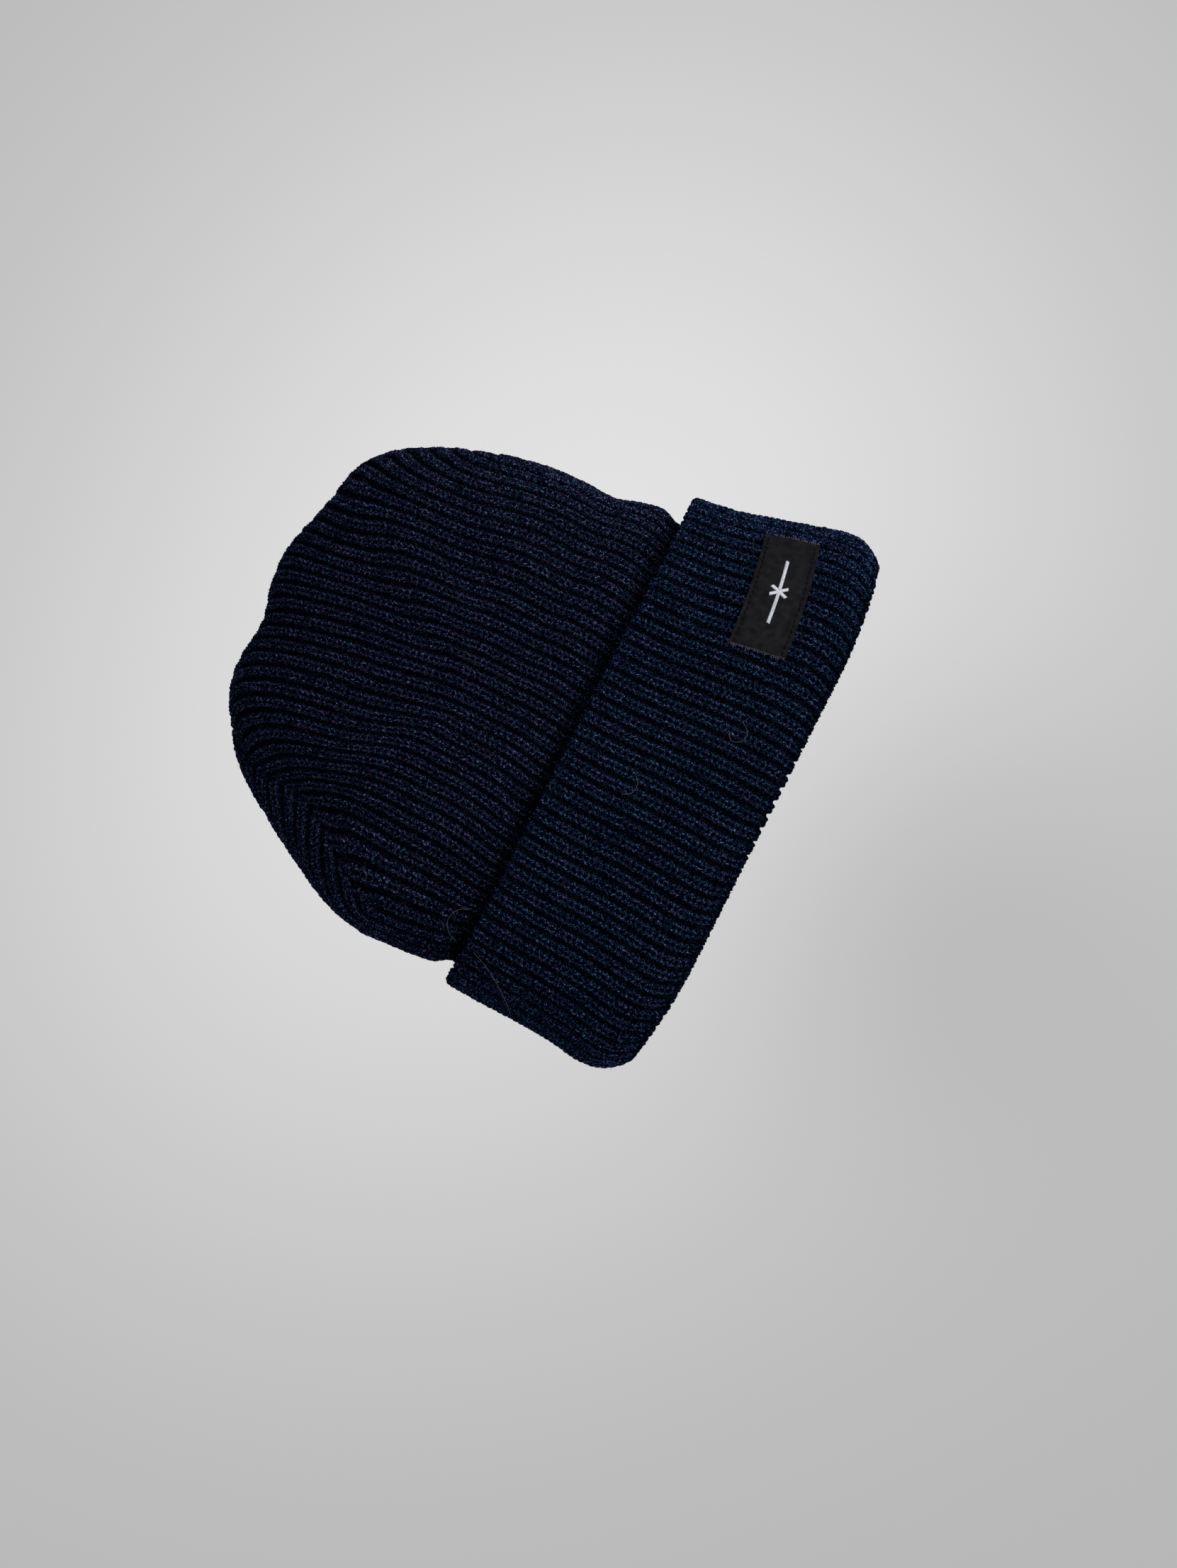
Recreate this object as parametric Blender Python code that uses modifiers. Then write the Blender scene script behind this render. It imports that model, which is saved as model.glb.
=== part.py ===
"""A rib-knit beanie with a deep turned-up cuff and a crown closed by one curved seam.

Metres, +Z from the opening up to the crown, origin in the middle of the opening on the plane the rim rests on.
The label is on the front, towards -Y. The crown has slumped over towards -X.

Every knitted surface is laid out on the ribs of the knit. Rib 0 stands at the left end of the crown seam, and the
ribs are counted along the front (-Y) to rib 42 at its right end, and back along the rear to rib 84, which is rib 0.
"""

import math

import bmesh
import bpy
import numpy as np
from mathutils import Vector

MM = 0.001

# The knit
RIBS = 84
PANEL_RIBS = RIBS / 2
RIB_LEAD = 4.5  # ribs between the left side of the flattened tube and rib 0
SECTION_EXPONENT = 2.2  # 2 is an ellipse, more is boxier
KNIT_THICKNESS = 3.2 * MM
COLUMNS = 72

# Body tube: height, left side, right side, half depth
BODY_SECTIONS = [
    (10, -101.5, 88.0, 34.2),
    (40, -101.5, 88.0, 34.2),
    (70, -101.5, 88.0, 34.4),
    (84, -102.0, 87.6, 35.4),
    (94, -103.2, 86.2, 36.2),
    (104, -104.2, 83.0, 36.8),
    (116, -105.0, 83.0, 37.0),
]
CROWN_BASE = 116.0
CROWN_ROWS = 11

# Line of the crown seam, from its left end over the top to its right end: x, y, z
CROWN_SEAM = [
    (-93.8, -19.5, 116),
    (-87.0, -22.0, 134),
    (-77.0, -21.5, 151),
    (-71.0, -17.0, 166),
    (-66.0, -8.0, 183),
    (-47.0, 7.0, 196),
    (-15.0, 14.0, 199),
    (20.0, 16.0, 201),
    (48.0, 15.0, 191),
    (69.0, 15.0, 168),
    (76.0, 17.0, 143),
    (71.8, 19.5, 116),
]
SEAM_PITCH = 4.9  # seam length taken by one rib that meets it square
SEAM_PITCH_RISE = 6.2  # extra length at both ends, where the ribs meet it at a slant
SEAM_RISE_RIBS = 4.7

# How a rib runs into the seam: rib, direction of a front rib, direction of the back rib that it meets
SEAM_ARRIVALS = [
    (0, 0.0, 0.0, 1.0, 0.0, 0.0, 1.0),
    (3, -0.1, 0.25, 0.95, 0.75, -0.25, 0.45),
    (7, -0.5, 0.55, 0.7, 0.9, -0.1, 0.3),
    (12, -0.4, 0.95, -0.1, 0.6, -0.75, 0.05),
    (18, -0.25, 1.0, -0.35, 0.15, -1.0, -0.05),
    (30, -0.05, 1.0, -0.35, 0.05, -1.0, -0.05),
    (36, -0.25, 1.0, 0.0, 0.25, -0.9, 0.3),
    (40, -0.2, 0.7, 0.6, 0.15, -0.5, 0.8),
    (42, 0.0, 0.0, 1.0, 0.0, 0.0, 1.0),
]
RISE_PULL = 1.35
ARRIVAL_PULL = 1.25

# Side outline of the crown that the ribs are eased out to, from right to left: x, z
CROWN_OUTLINE = [
    (83.0, 116.0),
    (80.0, 144.0),
    (75.0, 158.0),
    (68.0, 175.0),
    (59.0, 189.0),
    (51.0, 196.0),
    (35.0, 200.0),
    (19.0, 205.0),
    (8.0, 207.5),
    (-3.0, 206.5),
    (-18.0, 202.0),
    (-35.0, 203.5),
    (-53.0, 199.5),
    (-66.0, 190.5),
    (-82.0, 167.0),
    (-93.0, 149.0),
    (-101.5, 133.0),
    (-105.0, 116.0),
]
CROWN_CENTRE_X = -11.0

# Cuff: share of its height, left side, right side, half depth
CUFF_SECTIONS = [
    (0.00, -104.5, 106.5, 40.6),
    (0.10, -109.6, 110.0, 41.4),
    (0.20, -110.8, 110.2, 41.5),
    (0.38, -109.4, 107.0, 41.2),
    (0.55, -108.6, 103.6, 40.6),
    (0.75, -108.4, 99.6, 40.0),
    (1.00, -107.6, 96.6, 39.6),
]
CUFF_HEIGHT = 77.0
CUFF_END_LIFT = 4.0  # the free edge is this much higher at the two sides
RIM_LIFT = 7.0  # and so is the rim, outside its flat middle stretch
RIM_FLAT = 60.0
RIM_LIFT_RUN = 50.0
# The cuff's own outline, cut across: depth behind its outer face, height above the rim
CUFF_OUTLINE = [
    (0.8, 77.0),
    (0.0, 76.0),
    (0.0, 62.0),
    (0.0, 48.0),
    (0.0, 34.0),
    (0.0, 22.0),
    (0.0, 11.0),
    (0.3, 5.0),
    (1.3, 1.5),
    (2.6, 0.0),
    (4.6, 0.0),
    (5.8, 1.5),
    (6.6, 4.0),
    (6.8, 8.0),
    (4.0, 8.0),
    (3.9, 5.5),
    (3.3, 5.5),
    (3.2, 11.0),
    (3.2, 22.0),
    (3.2, 34.0),
    (3.2, 48.0),
    (3.2, 62.0),
    (3.2, 76.0),
    (2.4, 77.0),
]

# Seams on the inside of the knit
SEAM_RADIUS = 1.1 * MM
SEAM_CLEARANCE = 0.9 * MM
CROWN_SEAM_POINTS = 56
CROWN_SEAM_ENDS = 0.9  # ribs left free at both ends of the crown seam
SIDE_SEAM_TOP = 112.0
SIDE_SEAM_BOTTOM = 14.0
CUFF_SEAM_TOP = 72.0
CUFF_SEAM_BOTTOM = 14.0
TACK_RADII = (1.6 * MM, 1.6 * MM, 3.0 * MM)
TACK_DROP = 4.0 * MM

# Woven label on the front of the cuff
LABEL_LEFT_RIB = 25.8
LABEL_RIBS = 8.0
LABEL_LOW = 20.6
LABEL_HEIGHT = 21.0
LABEL_CLIMB = 4.0  # the right end is sewn on this much higher
LABEL_LIFT = 0.35 * MM
LABEL_THICKNESS = 0.7 * MM
LABEL_STEPS = 14
STITCH_INSET = 1.6
STITCH_RADIUS = 0.28 * MM
STITCH_PITCHES = 18
STITCH_WAVE = 0.12 * MM
ON_LABEL_GAP = 0.3 * MM

CUFF_RIB_PITCH = 5.85

# Motif on the label: a six-armed flake with two of its arms drawn out to long bars
MOTIF_ARM = 3.0
MOTIF_BAR = 12.5
MOTIF_HALF_WIDTH = 0.42
MOTIF_CUT_STEP = 2.5  # the flat motif is cut this often, so that it can bend with the label
MOTIF_THICKNESS = 0.3 * MM

# Care label, a blank tab that swings on its sewn edge inside the body
CARE_HINGE = (64.5 * MM, 16.0 * MM)
CARE_BOTTOM = 88.0 * MM
CARE_HEIGHT = 24.0 * MM
CARE_WIDTH = 30.0 * MM
CARE_THICKNESS = 0.6 * MM
CARE_ANGLE = math.radians(165.0)
CARE_STITCH_RADIUS = 0.6 * MM
CARE_EDGE_GAP = 0.3 * MM

NAVY = (0.020, 0.032, 0.075, 1.0)
SEAM_NAVY = (0.014, 0.020, 0.045, 1.0)
LABEL_BLACK = (0.012, 0.013, 0.016, 1.0)
THREAD_BLACK = (0.008, 0.008, 0.010, 1.0)
MOTIF_WHITE = (0.75, 0.76, 0.80, 1.0)
CARE_WHITE = (0.70, 0.70, 0.68, 1.0)


def clear_scene():
    for item in list(bpy.data.objects):
        bpy.data.objects.remove(item, do_unlink=True)


def fabric(name, colour, roughness):
    material = bpy.data.materials.new(name)
    material.use_nodes = True
    shader = material.node_tree.nodes["Principled BSDF"]
    shader.inputs["Base Color"].default_value = colour
    shader.inputs["Roughness"].default_value = roughness
    shader.inputs["Metallic"].default_value = 0.0
    material.diffuse_color = colour
    return material


def through(keys, at):
    """Values of a smooth curve through keys of (position, value, ...), at the positions asked for."""
    table = np.array(keys, float)
    x, y = table[:, 0], table[:, 1:]
    slope = np.gradient(y, x, axis=0)
    at = np.clip(np.asarray(at, float), x[0], x[-1])
    i = np.clip(np.searchsorted(x, at, side="right") - 1, 0, len(x) - 2)
    step = (x[i + 1] - x[i])[..., None]
    s = (at - x[i])[..., None] / step
    start, end = 2 * s**3 - 3 * s**2 + 1, 3 * s**2 - 2 * s**3
    leave, arrive = s**3 - 2 * s**2 + s, s**3 - s**2
    return start * y[i] + leave * step * slope[i] + end * y[i + 1] + arrive * step * slope[i + 1]


def unit(vectors):
    return vectors / np.linalg.norm(vectors, axis=-1, keepdims=True)


def running_length(points):
    steps = np.linalg.norm(np.diff(points, axis=0), axis=1)
    return np.concatenate([[0.0], np.cumsum(steps)])


def section_points(ribs, left, right, depth):
    """Points at these ribs on a flattened-tube section, spaced evenly along it, as x and y in millimetres."""
    turn = np.linspace(0.0, 2.0 * math.pi, 1441)
    c, s = np.cos(turn), np.sin(turn)
    power = 2.0 / SECTION_EXPONENT
    x = (left + right) / 2 - (right - left) / 2 * np.sign(c) * np.abs(c) ** power
    y = -depth * np.sign(s) * np.abs(s) ** power
    length = running_length(np.stack([x, y], axis=-1))
    wanted = (np.asarray(ribs, float) + RIB_LEAD) / RIBS % 1.0 * length[-1]
    return np.stack([np.interp(wanted, length, x), np.interp(wanted, length, y)], axis=-1)


def seam_line():
    """The crown seam as a dense line, with its running length, in millimetres."""
    keys = [(i, *point) for i, point in enumerate(CROWN_SEAM)]
    line = through(keys, np.linspace(0.0, len(CROWN_SEAM) - 1, 1101))
    return line, running_length(line)


def on_seam(ribs):
    """Where the ribs of the front panel meet the crown seam, and the seam's own direction there."""
    line, length = seam_line()
    dense = np.linspace(0.0, PANEL_RIBS, 421)
    ends = np.exp(-((dense / SEAM_RISE_RIBS) ** 2)) + np.exp(-(((PANEL_RIBS - dense) / SEAM_RISE_RIBS) ** 2))
    pitch = SEAM_PITCH + SEAM_PITCH_RISE * ends
    used = np.concatenate([[0.0], np.cumsum((pitch[1:] + pitch[:-1]) / 2)])
    wanted = np.interp(ribs, dense, used / used[-1]) * length[-1]
    places = np.stack([np.interp(wanted, length, line[:, k]) for k in range(3)], axis=-1)
    tangent = np.gradient(line, length, axis=0)
    along = np.stack([np.interp(wanted, length, tangent[:, k]) for k in range(3)], axis=-1)
    return places, unit(along)


def seam_partner(ribs):
    """The front rib that ends at the same point of the crown seam."""
    return np.where(ribs <= PANEL_RIBS, ribs, RIBS - ribs)


def plain_crown(ribs, rise):
    """Crown points before the outline is fitted: ribs by shares of the way from the body up to the seam."""
    ribs = np.asarray(ribs, float)
    partner = seam_partner(ribs)
    foot = section_points(ribs, *BODY_SECTIONS[-1][1:])
    start = np.column_stack([foot, np.full(len(ribs), CROWN_BASE)])
    end, _ = on_seam(partner)
    arrivals = through(SEAM_ARRIVALS, partner)
    on_front = (ribs <= PANEL_RIBS)[:, None]
    direction = unit(np.where(on_front, arrivals[:, :3], arrivals[:, 3:]))
    reach = np.linalg.norm(end - start, axis=1)[:, None]
    leave = reach * RISE_PULL * np.array([0.0, 0.0, 1.0])
    arrive = reach * ARRIVAL_PULL * direction
    t = np.asarray(rise, float)[None, :, None]
    points = (2 * t**3 - 3 * t**2 + 1) * start[:, None] + (t**3 - 2 * t**2 + t) * leave[:, None]
    return points + (3 * t**2 - 2 * t**3) * end[:, None] + (t**3 - t**2) * arrive[:, None]


def angle_and_radius(points):
    across = points[..., 0] - CROWN_CENTRE_X
    up = points[..., -1] - CROWN_BASE
    return np.arctan2(up, across), np.hypot(up, across)


def outline_stretch():
    """How far out the plain crown is eased at each angle, so that its side view fills CROWN_OUTLINE."""
    plain = plain_crown(np.linspace(0.0, RIBS, 337), np.linspace(0.0, 1.0, 81))
    angle, radius = angle_and_radius(plain)
    stations = np.linspace(0.0, math.pi, 49)
    half_step = stations[1] / 2
    reach = np.array([radius[np.abs(angle - a) <= half_step].max() for a in stations])
    goal_angle, goal_radius = angle_and_radius(np.array(CROWN_OUTLINE))
    goal = through(np.column_stack([goal_angle, goal_radius]), stations)[:, 0]
    ratio = goal / reach
    ratio[0] = ratio[-1] = 1.0
    return stations, ratio


def crown_points(ribs, rise):
    points = plain_crown(ribs, rise)
    stations, ratio = outline_stretch()
    angle, _ = angle_and_radius(points)
    factor = np.interp(angle, stations, ratio)
    points[..., 0] = CROWN_CENTRE_X + (points[..., 0] - CROWN_CENTRE_X) * factor
    points[..., 2] = CROWN_BASE + (points[..., 2] - CROWN_BASE) * factor
    return points


def body_points(ribs, height):
    """Outer face of the body tube, in millimetres."""
    left, right, depth = through(BODY_SECTIONS, height)
    foot = section_points(ribs, left, right, depth)
    return np.column_stack([foot, np.full(len(foot), height)])


def cuff_points(ribs, depth_behind, height):
    """A line round the cuff, this deep behind its outer face and this high above its rim, in millimetres."""
    share = height / CUFF_HEIGHT
    left, right, depth = through(CUFF_SECTIONS, share)
    foot = section_points(ribs, left + depth_behind, right - depth_behind, depth - depth_behind)
    side = np.clip((np.abs(foot[:, 0]) - RIM_FLAT) / RIM_LIFT_RUN, 0.0, 1.0) ** 2
    lift = side * (RIM_LIFT * (1.0 - share) + CUFF_END_LIFT * share)
    return np.column_stack([foot, height + lift])


def loft(name, rings, closed_across):
    """A mesh through rings of points; closed_across joins the last ring to the first one again."""
    mesh = bpy.data.meshes.new(name)
    form = bmesh.new()
    rows = [[form.verts.new(Vector(point) * MM) for point in ring] for ring in rings]
    pairs = list(zip(rows, rows[1:]))
    if closed_across:
        pairs.append((rows[-1], rows[0]))
    for low, high in pairs:
        for i in range(len(low)):
            j = (i + 1) % len(low)
            form.faces.new((low[i], low[j], high[j], high[i]))
    bmesh.ops.remove_doubles(form, verts=form.verts, dist=0.02 * MM)
    bmesh.ops.dissolve_degenerate(form, edges=form.edges, dist=0.02 * MM)
    bmesh.ops.recalc_face_normals(form, faces=form.faces)
    form.to_mesh(mesh)
    form.free()
    return mesh


def place(mesh_or_curve, name, collection, material, origin=(0.0, 0.0, 0.0)):
    item = bpy.data.objects.new(name, mesh_or_curve)
    item.location = origin
    mesh_or_curve.materials.append(material)
    collection.objects.link(item)
    if item.type == "MESH":
        mesh_or_curve.shade_smooth()
        mesh_or_curve.set_sharp_from_angle(angle=math.radians(50))
    return item


def thicken(item, thickness, offset):
    shell = item.modifiers.new("thickness", "SOLIDIFY")
    shell.thickness = thickness
    shell.offset = offset
    shell.use_even_offset = True


def thread(name, points, radius, collection, material):
    """A round thread through points in metres."""
    curve = bpy.data.curves.new(name, "CURVE")
    curve.dimensions = "3D"
    curve.bevel_depth = radius
    curve.bevel_resolution = 2
    curve.use_fill_caps = True
    spline = curve.splines.new("POLY")
    spline.points.add(len(points) - 1)
    for slot, point in zip(spline.points, points):
        slot.co = (*point, 1.0)
    return place(curve, name, collection, material)


def knit_body(collection, material):
    """Body tube and crown in one shell, with its opening at the bottom."""
    ribs = np.arange(COLUMNS) * RIBS / COLUMNS
    rings = [body_points(ribs, key[0]) for key in BODY_SECTIONS]
    crown = crown_points(ribs, np.linspace(0.0, 1.0, CROWN_ROWS + 1)[1:])
    rings += [crown[:, i] for i in range(CROWN_ROWS)]
    mesh = loft("knit_body", rings, closed_across=False)
    item = place(mesh, "knit_body", collection, material)
    thicken(item, KNIT_THICKNESS, -1.0)
    return item


def cuff(collection, material):
    ribs = np.arange(COLUMNS) * RIBS / COLUMNS
    rings = [cuff_points(ribs, depth, height) for depth, height in CUFF_OUTLINE]
    return place(loft("cuff", rings, closed_across=True), "cuff", collection, material)


def inside_crown_seam(ribs, depth):
    """Points this far behind the outer face of the knit, under the crown seam, in metres."""
    nearly = 0.97
    end = crown_points(ribs, [nearly, 1.0])
    mirror = crown_points(RIBS - ribs, [nearly, 1.0])
    place_on_seam = end[:, 1]
    along = np.gradient(place_on_seam, axis=0)
    outward = place_on_seam - np.array([CROWN_CENTRE_X, 0.0, CROWN_BASE])
    total = np.zeros_like(place_on_seam)
    for panel in (end, mirror):
        normal = unit(np.cross(along, panel[:, 1] - panel[:, 0]))
        facing = np.sign(np.sum(normal * outward, axis=1))[:, None]
        total += normal * facing
    return (place_on_seam * MM) - unit(total) * depth


def crown_seam(collection, material):
    ribs = np.linspace(CROWN_SEAM_ENDS, PANEL_RIBS - CROWN_SEAM_ENDS, CROWN_SEAM_POINTS)
    line = inside_crown_seam(ribs, KNIT_THICKNESS + SEAM_CLEARANCE + SEAM_RADIUS)
    return thread("crown_seam", line, SEAM_RADIUS, collection, material)


def side_seam(collection, material):
    inset = (KNIT_THICKNESS + SEAM_CLEARANCE + SEAM_RADIUS) / MM
    line = []
    for height in np.linspace(SIDE_SEAM_BOTTOM, SIDE_SEAM_TOP, 10):
        left, right, depth = through(BODY_SECTIONS, height)
        foot = section_points([PANEL_RIBS], left + inset, right - inset, depth - inset)[0]
        line.append((*(foot * MM), height * MM))
    return thread("side_seam", line, SEAM_RADIUS, collection, material)


def cuff_side_seam(collection, material):
    inset = (KNIT_THICKNESS + SEAM_CLEARANCE / 2 + SEAM_RADIUS) / MM
    heights = np.linspace(CUFF_SEAM_BOTTOM, CUFF_SEAM_TOP, 8)
    line = [cuff_points([PANEL_RIBS], inset, height)[0] * MM for height in heights]
    return thread("cuff_side_seam", line, SEAM_RADIUS, collection, material)


def dart_tack(collection, material):
    """The knot that ends the crown seam at its left end."""
    seam_start = inside_crown_seam(np.array([CROWN_SEAM_ENDS, 1.5]), KNIT_THICKNESS + 2.2 * MM)[0]
    bpy.ops.mesh.primitive_uv_sphere_add(segments=12, ring_count=8, radius=1.0)
    item = bpy.context.object
    item.name = "dart_tack"
    for vertex in item.data.vertices:
        vertex.co = Vector(v * r for v, r in zip(vertex.co, TACK_RADII))
    item.location = Vector(seam_start) - Vector((0.0, 0.0, TACK_DROP + TACK_RADII[2]))
    item.data.materials.append(material)
    item.data.shade_smooth()
    for home in list(item.users_collection):
        home.objects.unlink(item)
    collection.objects.link(item)
    return item


def on_label(across, up, lift):
    """A point on the label in metres: across 0 to 1 along it, up in millimetres, lift off the cuff in metres."""
    rib = LABEL_LEFT_RIB + across * LABEL_RIBS
    height = LABEL_LOW + up + LABEL_CLIMB * across
    step = 0.2
    here = cuff_points([rib], 0.0, height)[0]
    aside = cuff_points([rib + step], 0.0, height)[0] - here
    above = cuff_points([rib], 0.0, height + step)[0] - here
    normal = unit(np.cross(aside, above))
    return here * MM + normal * lift


def woven_label(collection, material):
    shares = np.linspace(0.0, 1.0, LABEL_STEPS + 1)
    heights = np.linspace(0.0, LABEL_HEIGHT, 5)
    mesh = bpy.data.meshes.new("woven_label")
    form = bmesh.new()
    grid = [[form.verts.new(on_label(a, b, LABEL_LIFT)) for a in shares] for b in heights]
    for low, high in zip(grid, grid[1:]):
        for i in range(LABEL_STEPS):
            form.faces.new((low[i], low[i + 1], high[i + 1], high[i]))
    form.to_mesh(mesh)
    form.free()
    item = place(mesh, "woven_label", collection, material)
    thicken(item, LABEL_THICKNESS, 1.0)
    return item


def label_stitch(name, up, collection, material):
    """A running thread along one long edge of the label."""
    base = LABEL_LIFT + LABEL_THICKNESS + ON_LABEL_GAP + STITCH_RADIUS
    points = []
    for share in np.linspace(0.03, 0.97, STITCH_PITCHES * 2 + 1):
        wave = STITCH_WAVE * (1 + math.cos(2 * math.pi * share * STITCH_PITCHES / 0.94))
        points.append(on_label(share, up, base + wave))
    return thread(name, points, STITCH_RADIUS, collection, material)


def motif_outline():
    """Outline of the flake and its two bars, in millimetres round its middle."""
    points = []
    for arm in range(6):
        angle = math.radians(60 * arm)
        out = Vector((math.cos(angle), math.sin(angle)))
        aside = Vector((-out.y, out.x)) * MOTIF_HALF_WIDTH
        long_arm = arm % 3 == 0
        reach = MOTIF_BAR if long_arm else MOTIF_ARM
        points += [out * reach - aside, out * reach + aside]
        corner = math.radians(60 * arm + 30)
        points.append(Vector((math.cos(corner), math.sin(corner))) * MOTIF_HALF_WIDTH * 2)
    return points


def label_motif(collection, material):
    curve = bpy.data.curves.new("motif_flat", "CURVE")
    curve.dimensions = "2D"
    curve.fill_mode = "BOTH"
    curve.extrude = MOTIF_THICKNESS / MM / 2
    outline = motif_outline()
    spline = curve.splines.new("POLY")
    spline.points.add(len(outline) - 1)
    spline.use_cyclic_u = True
    for slot, point in zip(spline.points, outline):
        slot.co = (point.x, point.y, 0.0, 1.0)
    flat = bpy.data.objects.new("motif_flat", curve)
    bpy.context.scene.collection.objects.link(flat)
    bpy.context.view_layer.update()
    mesh = bpy.data.meshes.new_from_object(flat.evaluated_get(bpy.context.evaluated_depsgraph_get()))
    bpy.data.objects.remove(flat)
    form = bmesh.new()
    form.from_mesh(mesh)
    bmesh.ops.remove_doubles(form, verts=form.verts, dist=0.001)
    for cut in np.arange(-MOTIF_BAR + MOTIF_CUT_STEP, MOTIF_BAR, MOTIF_CUT_STEP):
        everything = form.verts[:] + form.edges[:] + form.faces[:]
        bmesh.ops.bisect_plane(form, geom=everything, plane_co=(cut, 0, 0), plane_no=(1, 0, 0))
    base = LABEL_LIFT + LABEL_THICKNESS + ON_LABEL_GAP + MOTIF_THICKNESS / 2
    length = LABEL_RIBS * CUFF_RIB_PITCH
    for vertex in form.verts:
        share = 0.5 + vertex.co.x / length
        up = LABEL_HEIGHT / 2 + vertex.co.y
        vertex.co = on_label(share, up, base + vertex.co.z * MM)
    bmesh.ops.recalc_face_normals(form, faces=form.faces)
    form.to_mesh(mesh)
    form.free()
    mesh.name = "label_motif"
    mesh.materials.clear()
    return place(mesh, "label_motif", collection, material)


def care_label(collection, material):
    """A thin tab whose origin is on the line it swings about."""
    bpy.ops.mesh.primitive_cube_add(size=1.0)
    item = bpy.context.object
    item.name = "care_label"
    inner = CARE_STITCH_RADIUS + CARE_EDGE_GAP
    for vertex in item.data.vertices:
        vertex.co.x = inner + (vertex.co.x + 0.5) * CARE_WIDTH
        vertex.co.y *= CARE_THICKNESS
        vertex.co.z *= CARE_HEIGHT
    item.location = (*CARE_HINGE, CARE_BOTTOM + CARE_HEIGHT / 2)
    item.rotation_euler = (0.0, 0.0, CARE_ANGLE)
    item.data.materials.append(material)
    for home in list(item.users_collection):
        home.objects.unlink(item)
    collection.objects.link(item)
    return item


def care_label_stitch(collection, material):
    heights = np.linspace(CARE_BOTTOM, CARE_BOTTOM + CARE_HEIGHT, 3)
    line = [(*CARE_HINGE, height) for height in heights]
    return thread("care_label_stitch", line, CARE_STITCH_RADIUS, collection, material)


def main():
    clear_scene()
    collection = bpy.data.collections.new("rib_knit_beanie")
    bpy.context.scene.collection.children.link(collection)

    yarn = fabric("navy_yarn", NAVY, 0.9)
    seam_thread = fabric("seam_thread", SEAM_NAVY, 0.9)
    label_cloth = fabric("label_satin", LABEL_BLACK, 0.55)
    black_thread = fabric("black_thread", THREAD_BLACK, 0.7)
    white_thread = fabric("white_thread", MOTIF_WHITE, 0.6)
    care_cloth = fabric("care_tape", CARE_WHITE, 0.7)

    knit_body(collection, yarn)
    crown_seam(collection, seam_thread)
    side_seam(collection, seam_thread)
    dart_tack(collection, seam_thread)
    care_label_stitch(collection, white_thread)
    care_label(collection, care_cloth)

    cuff(collection, yarn)
    cuff_side_seam(collection, seam_thread)
    woven_label(collection, label_cloth)
    label_stitch("label_stitch_upper", LABEL_HEIGHT - STITCH_INSET, collection, black_thread)
    label_stitch("label_stitch_lower", STITCH_INSET, collection, black_thread)
    label_motif(collection, white_thread)


main()
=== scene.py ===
"""Looks of the rib-knit beanie: rib and stitch relief, woven label, threads, seams, fuzz, and the studio.

The knit is laid out on the same ribs as the CAD. Rib 0 stands at the left end of the crown seam. Ribs are
counted along the front (-Y) to rib 42 and back along the rear to rib 84, and each rib is cut into stitches.
Lengths in the tables are pattern millimetres; MM turns them into the frame's metres.
"""

import math

import bmesh
import bpy
import numpy as np
from mathutils import Matrix, Vector


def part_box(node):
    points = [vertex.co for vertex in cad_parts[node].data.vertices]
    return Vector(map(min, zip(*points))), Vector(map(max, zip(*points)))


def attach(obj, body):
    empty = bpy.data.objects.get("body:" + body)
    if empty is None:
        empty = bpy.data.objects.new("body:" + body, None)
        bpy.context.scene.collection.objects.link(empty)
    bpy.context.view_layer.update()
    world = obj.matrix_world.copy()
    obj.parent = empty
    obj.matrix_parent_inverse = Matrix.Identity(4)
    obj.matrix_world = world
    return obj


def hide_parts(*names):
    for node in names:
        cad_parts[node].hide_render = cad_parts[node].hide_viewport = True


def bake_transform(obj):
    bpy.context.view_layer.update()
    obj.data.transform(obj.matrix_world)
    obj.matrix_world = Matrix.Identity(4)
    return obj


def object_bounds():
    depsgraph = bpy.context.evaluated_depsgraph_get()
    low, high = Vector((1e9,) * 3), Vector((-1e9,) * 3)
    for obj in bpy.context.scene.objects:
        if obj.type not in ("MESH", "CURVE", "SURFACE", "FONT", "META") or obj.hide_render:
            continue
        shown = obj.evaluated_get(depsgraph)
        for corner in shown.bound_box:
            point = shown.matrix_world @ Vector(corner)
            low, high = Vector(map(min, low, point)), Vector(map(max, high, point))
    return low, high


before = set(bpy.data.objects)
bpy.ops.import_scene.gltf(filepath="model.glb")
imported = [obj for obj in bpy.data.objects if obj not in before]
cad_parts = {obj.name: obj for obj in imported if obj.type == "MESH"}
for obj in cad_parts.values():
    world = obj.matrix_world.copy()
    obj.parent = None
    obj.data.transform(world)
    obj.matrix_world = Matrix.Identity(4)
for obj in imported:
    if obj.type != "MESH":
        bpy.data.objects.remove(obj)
cad_low, cad_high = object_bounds()

# One pattern millimetre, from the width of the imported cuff
CUFF_WIDTH = 220.83
cuff_low, cuff_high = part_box("cuff")
MM = (cuff_high.x - cuff_low.x) / CUFF_WIDTH

# The knit
RIBS = 84
PANEL_RIBS = 42
RIB_LEAD = 4.5
SECTION_EXPONENT = 2.2
KNIT_THICKNESS = 3.2

# Places across one rib where the mesh has a line, from one groove to the next, in ribs
OUTER_LINES = [-0.5, -0.39, -0.29, -0.19, -0.1, 0.0, 0.1, 0.19, 0.29, 0.39]
INNER_LINES = [-0.5, -0.3, -0.15, 0.0, 0.15, 0.3]
BODY_COURSES = 46  # stitches up the body tube; one is about 2.3 mm high
ROWS_PER_COURSE = 4

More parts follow.
